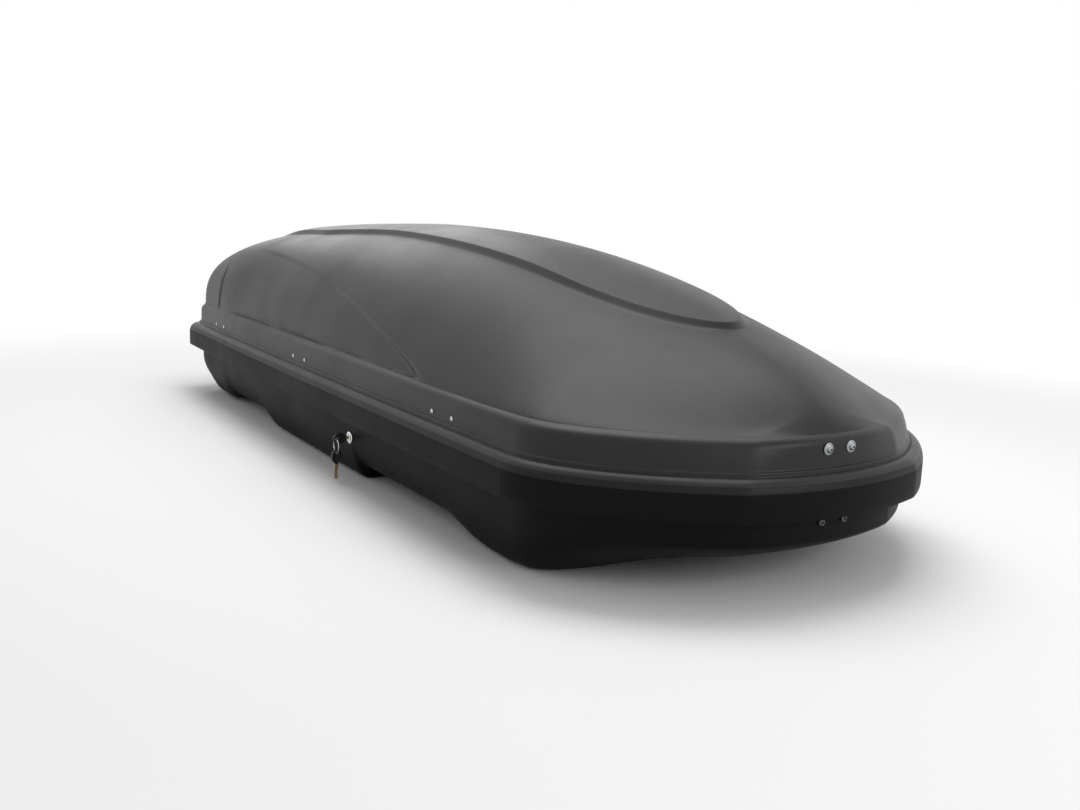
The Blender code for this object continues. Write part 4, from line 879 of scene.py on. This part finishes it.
@dataclass
class Tray:
    """The tray: one formed sheet with its keel, its belly, recesses for the crossbars and clamp slots.

    A pull is how far the lines of the sheet lean to the middle, where that starts and how long it takes.
    """

    rim: Rim = field(default_factory=Rim)
    thick: float = 0.004
    inset: float = 0.030
    skirt_z: float = SKIRT_Z
    straight: Point = (0.026, 0.040)
    rounding: tuple[float, float, float] = (0.045, 0.320, 0.110)
    power: Point = (2.0, 1.4)
    nose_start: float = 0.70
    floor: tuple[Point, ...] = ((-1.10, 0.008), (-0.775, 0.008), (-0.735, 0.026), (-0.478, 0.026),
                                (-0.406, 0.0), (0.122, 0.0), (0.136, 0.026), (0.490, 0.026),
                                (0.576, 0.004), (0.620, 0.0), (1.10, 0.0))
    ease: float = 0.005
    wall_rises: tuple[float, ...] = (0.046, 0.030, 0.010)
    tail_zone: Point = (0.90, 0.10)
    front_pull: tuple[float, float, float] = (0.32, 0.50, 0.57)
    rear_pull: tuple[float, float, float] = (0.12, 0.80, 0.22)
    reach_limit: float = 0.96
    turn_power: float = 1.6
    cut_z: Point = (0.01, 0.05)
    clamp_y: float = 0.190
    slot_step: float = 0.030
    slot_size: Point = (0.150, 0.009)

    def floor_z(self, x: np.ndarray) -> np.ndarray:
        """Return the height of the underside, its corners eased as a formed sheet's are.

        Args:
            x: Places along the tray.

        Returns:
            The height at each place.
        """
        marks = np.array(self.floor)
        shifts = np.linspace(-self.ease, self.ease, 7)
        return np.mean([np.interp(x + s, marks[:, 0], marks[:, 1]) for s in shifts], axis=0)

    def rows(self) -> np.ndarray:
        """Lay out the near half from the top edge to the middle line.

        Returns:
            Points as an array of rows, columns and coordinates.
        """
        corners = [m[0] + s * self.ease for m in self.floor[1:-1] for s in (-1, -0.5, 0, 0.5, 1)]
        even = np.linspace(SIDE_FRONT_X, SIDE_REAR_X, 56)
        side_x = sorted({round(float(x), 5) for x in [*even, *corners]}, reverse=True)
        rim = self.rim.near_half(self.inset, side_x)
        x, y = rim[:, 0], rim[:, 1]
        nose, tail = ramp(x, self.nose_start, 1 - self.nose_start), ramp(-x, *self.tail_zone)
        straight = self.skirt_z - self.straight[0] - (self.straight[1] - self.straight[0]) * nose
        power = self.power[0] + (self.power[1] - self.power[0]) * nose
        (back, back_x, back_run), (ahead, ahead_x, ahead_run) = self.front_pull, self.rear_pull
        goal = np.column_stack((
            x - back * ramp(x, back_x, back_run) + ahead * ramp(-x, ahead_x, ahead_run), np.zeros(len(x))))
        side, front, rear = self.rounding
        radius = side + (front - side) * nose + (rear - side) * tail
        reach = np.hypot(*(goal - rim).T)
        rows = [np.column_stack((rim, np.full(len(x), self.skirt_z + rise))) for rise in self.wall_rises]
        rows += [np.column_stack((rim, straight + (self.skirt_z - straight) * s)) for s in (0.5, 0.0)]
        for share in np.linspace(0, 1, 19)[1:] ** self.turn_power:
            plan = rim + (goal - rim) * np.minimum(self.reach_limit, share * radius / reach)[:, None]
            bottom = self.floor_z(plan[:, 0])
            rise = 1 - (1 - (1 - share) ** power) ** (1 / power)
            rows.append(np.column_stack((plan, bottom + (straight - bottom) * rise)))
        last = rows[-1][:, :2]
        for share in (0.12, 0.28, 0.45, 0.62, 0.8, 1.0):
            plan = last + (goal - last) * share
            rows.append(np.column_stack((plan, self.floor_z(plan[:, 0]))))
        return np.array(rows)

    def build(self) -> bpy.types.Object:
        """Model the tray's sheet: half an outer face, its mirror image, its thickness and its slots.

        Returns:
            The closed shell.
        """
        obj = sheet("tray_formed_sheet", self.rows())
        apply_modifier(obj, "MIRROR", use_axis=(False, True, False), use_clip=True, merge_threshold=1e-4)
        apply_modifier(obj, "SOLIDIFY", thickness=self.thick, offset=-1, material_offset_rim=1)
        for label in ("row", "column"):
            obj.data.attributes.remove(obj.data.attributes[label])
        # Where rows meet in a point on the middle line, the inner face can start on the wrong side
        for vert in obj.data.vertices:
            if vert.co.z < -self.thick / 2:
                vert.co.z += 2 * self.thick
        long, wide = self.slot_size
        for end in ("rear", "front"):
            low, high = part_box(f"clamp_plate_{end}_near")
            x = (low.x + high.x) / 2
            for y in (s * self.clamp_y + t * self.slot_step for s in (-1, 1) for t in (-1, 1)):
                cut_away(obj, brick((x - long / 2, y - wide / 2, self.cut_z[0]),
                                    (x + long / 2, y + wide / 2, self.cut_z[1])))
        smooth_by_angle(obj, 40)
        return obj


# Fixings


@dataclass
class Fixings:
    """Blind rivets of catches and hinges, and the bolts of the lifters. Each kind is modelled once."""

    rivet_head: float = 0.0016
    lid_bolt_head: float = 0.0058
    tray_bolt_head: float = 0.0036
    nut_height: float = 0.0040
    nut_chamfer: float = 0.0006
    socket: float = 0.0022
    finishes: dict[str, Finish] = field(default_factory=lambda: {
        "catch": ZINC_FIXING, "hinge": ZINC_FIXING, "lid": DULL_ZINC, "tray": GREY_ZINC})

    def rivet(self) -> bpy.types.Object:
        """Model a blind rivet: a domed head with the hole of its drawn mandrel, a shank and its set end.

        Returns:
            The rivet, its seat at z = 0.
        """
        return lathe("rivet_pattern", [
            (0, 0.0004), (0.0009, 0.0004), (0.0011, 0.0014), (0.0016, 0.0015), (0.0025, 0.00125),
            (0.0034, 0.0008), (0.0041, 0.0003), (0.0044, 0.0), (0.0042, -0.00005), (0.0019, 0.0),
            (0.0019, -0.0073), (0.0031, -0.0074), (0.0033, -0.0080), (0.0028, -0.0088), (0.0012, -0.0090),
            (0, -0.0090)], 32)

    def bolt(self, name: str, head: Sequence[Point], depth: float, grip: float) -> bpy.types.Object:
        """Model a bolt with a hexagon socket, its shank and its nut.

        Args:
            name: The piece's name.
            head: Profile of the head, from its middle to the shank.
            depth: Depth of the socket below the top of the head.
            grip: Length from the head's seat to the nut.

        Returns:
            The bolt, its seat at z = 0.
        """
        end = -grip - self.nut_height
        nut = [(0.0026, -grip), (0.0047, -grip), (0.0050, -grip - self.nut_chamfer),
               (0.0050, end + self.nut_chamfer), (0.0045, end), (0, end)]
        obj = lathe(name, [*head, *nut])
        tool = drum(self.socket, 2 * depth, 6)
        put(tool, Vector((0, 0, head[0][1])))
        cut_away(obj, tool)
        return obj

    def build(self) -> None:
        """Place a copy of the right pattern at every rivet and bolt of the CAD."""
        rivet = self.rivet()
        patterns = {"lid": None, "tray": None}
        for node in sorted(frame["nodes"]):
            low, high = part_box(node)
            middle = (low + high) / 2
            if "rivet" in node:
                near = node.startswith("catch")
                axis = Vector((-math.tan(SIDE_SLOPE), -1 if near else 1, 0)).normalized()
                middle.y = low.y + self.rivet_head if near else high.y - self.rivet_head
                obj = copy_of(rivet, node + "_set")
            elif "_bolt_" in node:
                kind, front = node.split("_")[0], "front" in node
                head = self.lid_bolt_head if kind == "lid" else self.tray_bolt_head
                axis = Vector((1 if front else -1, 0, 0))
                if patterns[kind] is None or front != patterns[kind][1]:
                    patterns[kind] = (self.pattern(kind, high.x - low.x - head - self.nut_height), front)
                middle.x = high.x - head if front else low.x + head
                obj = copy_of(patterns[kind][0], node + "_fitted")
            else:
                continue
            put(obj, middle, axis)
            smooth_by_angle(obj)
            dress(obj, node, self.finishes[node.split("_")[0]])
        for obj in [o for o in bpy.data.objects if "_pattern" in o.name]:
            bpy.data.objects.remove(obj, do_unlink=True)

    def pattern(self, kind: str, grip: float) -> bpy.types.Object:
        """Model the bolt of the lid, on its wide washer, or the one of the tray.

        Args:
            kind: "lid" or "tray".
            grip: Length from the head's seat to the nut.

        Returns:
            The bolt, its seat at z = 0.
        """
        if kind == "lid":
            dome = [(0, 0.0058), (0.0012, 0.00575), (0.0024, 0.0055), (0.0036, 0.0049), (0.0046, 0.0038),
                    (0.0052, 0.0025), (0.0053, 0.0017), (0.0056, 0.0015), (0.0076, 0.0012), (0.0087, 0.0008),
                    (0.0090, 0.0003), (0.0089, 0.0), (0.0026, 0.0)]
            return self.bolt("lid_bolt_pattern", dome, 0.0026, grip)
        ring = [(0, 0.0036), (0.0030, 0.0036), (0.0044, 0.0033), (0.0054, 0.0025), (0.0058, 0.0014),
                (0.0058, 0.0002), (0.0056, 0.0), (0.0026, 0.0)]
        return self.bolt("tray_bolt_pattern", ring, 0.0022, grip)


# Lock and keys


@dataclass
class Lock:
    """The lock in the tray's near side, its key, the key ring and the spare key that hangs on it."""

    line_y: float = -0.3579
    skirt_z: float = SKIRT_Z
    place: tuple[float, float, float] = (0.120, 0.0, -0.042)
    bow_y: float = -0.0275
    bow_long: float = 0.0137
    bow_wide: float = 0.0100
    bow_thick: float = 0.0064
    bow_hole: float = 0.0033
    hole_y: float = -0.0345
    ring_drop: float = 0.0012
    ring_radius: float = 0.0130
    ring_wire: float = 0.0009
    blade_wide: float = 0.0066
    blade_thick: float = 0.0020
    spare_long: float = 0.0300
    spare_drop: float = 0.0070
    blade_end: float = 0.0055
    blade_gap: float = 0.0003
    bow_round: float = 0.0014
    grip_margin: float = 0.0022
    grip_slope: Point = (0.0005, -0.0004)
    hole_round: float = 0.0003
    groove_wide: Point = (-0.0006, 0.0009)
    groove_deep: float = 0.0004
    groove_start: float = 0.003
    bits_mm: tuple[float, ...] = (0.9, 1.6, 1.1, 1.9, 0.7)
    bit_cutter: float = 0.0016
    bit_lift: float = 0.0012
    bit_pitch: float = 0.0040
    uncut_length: float = 0.02
    keyway: Point = (0.0013, 0.0037)
    coil_spacing: float = 0.47

    def into_place(self, obj: bpy.types.Object, x: float = 0, y: float = 0, z: float = 0) -> None:
        """Move a mesh from the lock's own axes (x along the side, y into the tray) to its place."""
        line = Matrix.Translation((0, self.line_y, self.skirt_z)) @ Matrix.Rotation(-SIDE_SLOPE, 4, "Z")
        obj.data.transform(line @ Matrix.Translation(Vector(self.place) + Vector((x, y, z))))

    def skin(self) -> float:
        """Return the local y of the lock's outer face, from the CAD body of the lock."""
        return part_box("lock_body")[0].y - self.centre().y

    def centre(self) -> Vector:
        """Return the lock's point on the near line, in the frame of the CAD."""
        x, y, z = self.place
        return Vector((x * math.cos(SIDE_SLOPE) + y * math.sin(SIDE_SLOPE),
                       self.line_y - x * math.sin(SIDE_SLOPE), self.skirt_z + z))

    def turned(self, name: str, profile: Sequence[Point]) -> bpy.types.Object:
        """Turn a profile about the lock's axis.

        Args:
            name: The piece's name.
            profile: Points of (radius, local y).

        Returns:
            The turned piece, at the origin.
        """
        obj = lathe(name, profile, 48)
        obj.data.transform(Matrix.Rotation(math.radians(-90), 4, "X"))
        return obj

    def bow(self, name: str, along: str) -> bpy.types.Object:
        """Model a key's moulded bow: an oval with rounded rims, a shallow grip recess and its ring hole.

        Args:
            name: The piece's name.
            along: The axis of its long side, "Y" or "Z".

        Returns:
            The bow, its middle at the origin and its flat side across X.
        """
        obj = drum(1.0, 1.0, 64)
        obj.name = name
        bpy.ops.object.mode_set(mode="EDIT")
        bpy.ops.mesh.select_all(action="SELECT")
        bpy.ops.transform.resize(value=(self.bow_long, self.bow_wide, self.bow_thick))
        bpy.ops.mesh.select_all(action="DESELECT")
        shape = bmesh.from_edit_mesh(obj.data)
        for edge in shape.edges:
            edge.select_set(abs(edge.verts[0].co.z - edge.verts[1].co.z) < 1e-6)
        bmesh.update_edit_mesh(obj.data)
        bpy.ops.mesh.bevel(offset=self.bow_round, segments=4, affect="EDGES")
        shape = bmesh.from_edit_mesh(obj.data)
        for face in shape.faces:
            face.select_set(len(face.verts) > 10)
        bmesh.update_edit_mesh(obj.data)
        bpy.ops.mesh.inset(thickness=self.grip_margin, depth=0, use_individual=True)
        bpy.ops.mesh.inset(thickness=self.grip_slope[0], depth=self.grip_slope[1], use_individual=True)
        bpy.ops.object.mode_set(mode="OBJECT")
        hole = drum(self.bow_hole, 0.02, 32)
        put(hole, Vector((self.hole_y - self.bow_y, 0, 0)))
        cut_away(obj, hole)
        apply_modifier(obj, "BEVEL", width=self.hole_round, segments=2, limit_method="ANGLE",
                       angle_limit=math.radians(50))
        turn = Matrix.Rotation(math.radians(90), 4, "Z") @ Matrix.Rotation(math.radians(90), 4, "X")
        obj.data.transform(turn)
        if along == "Z":
            obj.data.transform(Matrix.Rotation(math.radians(-90), 4, "X"))
        return obj

    def blade(self, name: str, length: float) -> bpy.types.Object:
        """Model a flat key blade with milled grooves and, where it is long enough, its cut bits.

        Args:
            name: The piece's name.
            length: Its length.

        Returns:
            The blade, from the origin along local -Z.
        """
        half, thick = self.blade_wide / 2, self.blade_thick / 2
        obj = brick((-thick, -half, -length), (thick, half, 0))
        obj.name = name
        deep, (low, high) = self.groove_deep, self.groove_wide
        for side in (-1, 1):
            cut_away(obj, brick((side * thick - deep, low, -length - 0.001),
                                (side * thick + deep, high, -self.groove_start)))
        for step, depth in enumerate(self.bits_mm if length > self.uncut_length else ()):
            tool = drum(self.bit_cutter, 0.01, 4)
            put(tool, Vector((0, half + self.bit_lift - depth / 1000,
                              -length + self.bit_pitch * (1 + step))), Vector((1, 0, 0)))
            cut_away(obj, tool)
        apply_modifier(obj, "BEVEL", width=0.00015, segments=2, limit_method="ANGLE")
        return obj

    def build(self) -> None:
        """Model the lock, both keys and the ring, and dress them."""
        skin = self.skin()
        body = self.turned("lock_body_turned", [
            (0.0063, skin + 0.0004), (0.0066, skin), (0.0106, skin), (0.0112, skin + 0.0003),
            (0.0121, skin + 0.0010), (0.0125, skin + 0.0018), (0.0124, skin + 0.0024),
            (0.0095, skin + 0.0024), (0.0095, 0.0070), (0.0063, 0.0070), (0.0063, skin + 0.0004)])
        self.into_place(body)
        core = self.turned("lock_core_turned", [
            (0, skin - 0.0006), (0.0052, skin - 0.0006), (0.0058, skin - 0.0001), (0.0060, skin + 0.0004),
            (0.0060, 0.0104), (0.0042, 0.0104), (0.0042, 0.0134), (0.0055, 0.0134), (0.0055, 0.0150),
            (0, 0.0150)])
        wide, tall = self.keyway
        cut_away(core, brick((-wide, skin - 0.010, -tall), (wide, 0.0060, tall)))
        self.into_place(core)
        nut = self.turned("lock_nut_turned", [
            (0.0102, 0.0012), (0.0104, 0.0010), (0.0130, 0.0010), (0.0133, 0.0013), (0.0133, 0.0039),
            (0.0130, 0.0042), (0.0104, 0.0042), (0.0102, 0.0040), (0.0102, 0.0012)])
        self.into_place(nut)
        key = self.bow("key_bow_moulded", "Y")
        self.into_place(key, y=self.bow_y)
        start = self.bow_y + self.bow_long + self.blade_gap
        blade = self.blade("key_blade_cut", self.blade_end - start)
        blade.data.transform(Matrix.Rotation(math.radians(90), 4, "X"))
        self.into_place(blade, y=start)
        ring = self.ring()
        top = -self.ring_drop
        self.into_place(ring, y=self.hole_y, z=top - self.ring_radius)
        hang = top - 2 * self.ring_radius
        spare_z = hang - self.ring_drop - self.spare_drop
        spare = self.bow("spare_bow_moulded", "Z")
        self.into_place(spare, y=self.hole_y, z=spare_z)
        spare_blade = self.blade("spare_blade_cut", self.spare_long)
        self.into_place(spare_blade, y=self.hole_y, z=spare_z - self.bow_long - self.blade_gap)
        for obj, node in ((body, "lock_body"), (core, "lock_core"), (nut, "lock_nut"), (key, "key_bow"),
                          (blade, "key_blade"), (ring, "key_ring"), (spare, "spare_bow"),
                          (spare_blade, "spare_blade")):
            smooth_by_angle(obj)
            dress(obj, node)

    def ring(self) -> bpy.types.Object:
        """Model the split key ring: two coils side by side, standing across Y.

        Returns:
            The ring, its middle at the origin.
        """
        deselect()
        coils = []
        for side in (-1, 1):
            bpy.ops.mesh.primitive_torus_add(major_radius=self.ring_radius, minor_radius=self.ring_wire / 2,
                                             major_segments=72, minor_segments=10,
                                             location=(0, 0, side * self.ring_wire * self.coil_spacing))
            coils.append(bpy.context.object)
        for coil in coils:
            coil.select_set(True)
        bpy.ops.object.transform_apply(location=True, rotation=True, scale=True)
        bpy.ops.object.join()
        obj = bpy.context.object
        obj.name = "key_ring_split"
        obj.data.transform(Matrix.Rotation(math.radians(90), 4, "X"))
        return obj


# Hinges, catches, lock rail, lifters and clamp plates


@dataclass
class Mechanism:
    """The steel parts inside: each takes the CAD's own shape, its edges broken as deburred steel's are."""

    edge: float = 0.0004
    segments: int = 2
    kinds: tuple[str, ...] = (
        "lid_leaf", "tray_leaf", "hinge_pin", "catch_1", "catch_2", "catch_3", "lock_rail", "lock_bar",
        "lock_cam", "lid_bracket", "tray_bracket", "lower_arm", "upper_arm", "clamp_plate")

    def build(self) -> None:
        """Break the edges of a merged copy of each part and dress it."""
        for node in sorted(frame["nodes"]):
            if not node.startswith(self.kinds):
                continue
            obj = copy_of(frame["nodes"][node], node + "_deburred")
            pick(obj)
            bpy.ops.object.mode_set(mode="EDIT")
            bpy.ops.mesh.select_all(action="SELECT")
            bpy.ops.mesh.remove_doubles(threshold=1e-5)
            bpy.ops.mesh.dissolve_limited(angle_limit=math.radians(2))
            bpy.ops.object.mode_set(mode="OBJECT")
            apply_modifier(obj, "BEVEL", width=self.edge, segments=self.segments, limit_method="ANGLE",
                           angle_limit=math.radians(40), harden_normals=False)
            smooth_by_angle(obj, 42)
            dress(obj, node)


# Studio


@dataclass
class Studio:
    """A pale floor, a white backdrop, soft lamps and the camera of the photograph."""

    camera_place: tuple[float, float, float] = (2.0674, -1.1772, 0.5477)
    azimuth: float = 57.377
    elevation: float = 10.489
    roll: float = 2.003
    lens: float = 36.50
    sensor_width: float = 36.0
    backdrop_light: float = 0.55
    floor_colour: str = "#f4f4f4"
    floor_size: float = 60.0
    floor_gap: float = 0.0005
    fade_start: float = 1.2
    fade_end: float = 2.6
    # Name, place, target, size and watts of each lamp
    lamps: tuple = (("top_softbox", (-0.10, 0.20, 2.5), (0.0, 0.05, 0.2), (2.6, 1.5), 41.0),
                    ("rear_softbox", (-3.2, 0.9, 1.7), (-0.2, -0.1, 0.3), (1.6, 1.2), 11.0),
                    ("front_softbox", (3.2, 0.5, 1.3), (0.9, 0.0, 0.25), (1.4, 1.0), 16.0))

    def camera(self) -> None:
        """Place the camera by its azimuth, elevation and roll."""
        a, e, r = (math.radians(v) for v in (self.azimuth, self.elevation, self.roll))
        back = Vector((math.sin(a) * math.cos(e), -math.cos(a) * math.cos(e), math.sin(e)))
        right = (-back).cross(Vector((0, 0, 1))).normalized()
        up = right.cross(-back)
        across = right * math.cos(r) + up * math.sin(r)
        upright = up * math.cos(r) - right * math.sin(r)
        data = bpy.data.cameras.new("photo_view")
        data.lens, data.sensor_width = self.lens, self.sensor_width
        obj = bpy.data.objects.new("photo_view", data)
        bpy.context.scene.collection.objects.link(obj)
        turn = Matrix((across, upright, back)).transposed().to_4x4()
        obj.matrix_world = Matrix.Translation(self.camera_place) @ turn
        bpy.context.scene.camera = obj

    @staticmethod
    def seen_rays(tree: bpy.types.NodeTree) -> bpy.types.NodeSocket:
        """Add the nodes that tell what the camera, metal and glass see from what lights the object.

        Args:
            tree: The node tree of a material or of the world.

        Returns:
            The socket that is 1 for seen rays and 0 for lighting rays.
        """
        path = add_node(tree, "ShaderNodeLightPath")
        seen = add_node(tree, "ShaderNodeMath", {
            0: path.outputs["Is Camera Ray"], 1: path.outputs["Is Glossy Ray"]}, operation="MAXIMUM")
        return add_node(tree, "ShaderNodeMath", {
            0: seen.outputs[0], 1: path.outputs["Is Transmission Ray"]}, operation="MAXIMUM").outputs[0]

    def backdrop(self) -> None:
        """Make the world white to the eye, to metal and to glass, and dimmer as a light."""
        world = bpy.data.worlds.new("white_backdrop")
        world.use_nodes = True
        bpy.context.scene.world = world
        tree = world.node_tree
        tree.nodes.clear()
        light = add_node(tree, "ShaderNodeBackground", {
            "Color": linear("#ffffff"), "Strength": self.backdrop_light})
        white = add_node(tree, "ShaderNodeBackground", {"Color": linear("#ffffff"), "Strength": 1.0})
        mix = add_node(tree, "ShaderNodeMixShader", {
            0: self.seen_rays(tree), 1: light.outputs[0], 2: white.outputs[0]})
        add_node(tree, "ShaderNodeOutputWorld", {"Surface": mix.outputs[0]})

    def floor(self) -> None:
        """Lay a large pale matt floor under the keel."""
        deselect()
        bpy.ops.mesh.primitive_plane_add(size=self.floor_size, location=(0, 0, -self.floor_gap))
        obj = bpy.context.object
        obj.name = "studio_floor"
        mat = bpy.data.materials.new("pale_matt_floor")
        mat.use_nodes = True
        tree = mat.node_tree
        shader = tree.nodes["Principled BSDF"]
        place = add_node(tree, "ShaderNodeTexCoord").outputs["Object"]
        mottle = add_node(tree, "ShaderNodeTexNoise", {"Vector": place, "Scale": 3.0, "Detail": 2.0})
        rough = add_node(tree, "ShaderNodeMapRange", {
            "Value": mottle.outputs["Fac"], "To Min": 0.85, "To Max": 0.95})
        tree.links.new(rough.outputs["Result"], shader.inputs["Roughness"])
        shader.inputs["Base Color"].default_value = linear(self.floor_colour)
        shader.inputs["Specular IOR Level"].default_value = 0.0
        away = add_node(tree, "ShaderNodeVectorMath", {0: place}, operation="LENGTH")
        fade = add_node(tree, "ShaderNodeMapRange", {
            "Value": away.outputs["Value"], "From Min": self.fade_start, "From Max": self.fade_end},
            interpolation_type="SMOOTHSTEP")
        share = add_node(tree, "ShaderNodeMath", {
            0: fade.outputs["Result"], 1: self.seen_rays(tree)}, operation="MULTIPLY")
        white = add_node(tree, "ShaderNodeEmission", {"Color": linear("#ffffff"), "Strength": 1.0})
        mix = add_node(tree, "ShaderNodeMixShader", {
            0: share.outputs[0], 1: shader.outputs[0], 2: white.outputs[0]})
        tree.links.new(mix.outputs[0], tree.nodes["Material Output"].inputs["Surface"])
        obj.data.materials.append(mat)

    def light(self) -> None:
        """Hang the soft lamps."""
        for name, place, target, size, power in self.lamps:
            data = bpy.data.lights.new(name, "AREA")
            data.shape = "RECTANGLE"
            data.size, data.size_y = size
            data.energy = power
            obj = bpy.data.objects.new(name, data)
            bpy.context.scene.collection.objects.link(obj)
            aim = (Vector(target) - Vector(place)).to_track_quat("-Z", "Y").to_matrix().to_4x4()
            obj.matrix_world = Matrix.Translation(place) @ aim

    def build(self) -> None:
        """Set up the camera, the backdrop, the floor, the lamps and the plain view transform."""
        self.camera()
        self.backdrop()
        self.floor()
        self.light()
        bpy.context.scene.view_settings.view_transform = "Standard"


def main() -> None:
    """Build every sub-assembly."""
    logging.basicConfig(level=logging.INFO, format="%(message)s")
    lid, tray = LidShell(), Tray()
    # The lid's turn and skirt, and the whole tray, take darker and duller copies of the sheet: painted shade
    dress(lid.build(), "lid_shell", GRAINED_ABS, TRIMMED_ABS, HALF_SHADED_ABS, SHADED_ABS)
    dress(tray.build(), "base_tray", SHADED_ABS, TRIMMED_ABS)
    Fixings().build()
    Lock().build()
    Mechanism().build()
    Studio().build()


if __name__ == "__main__":
    main()
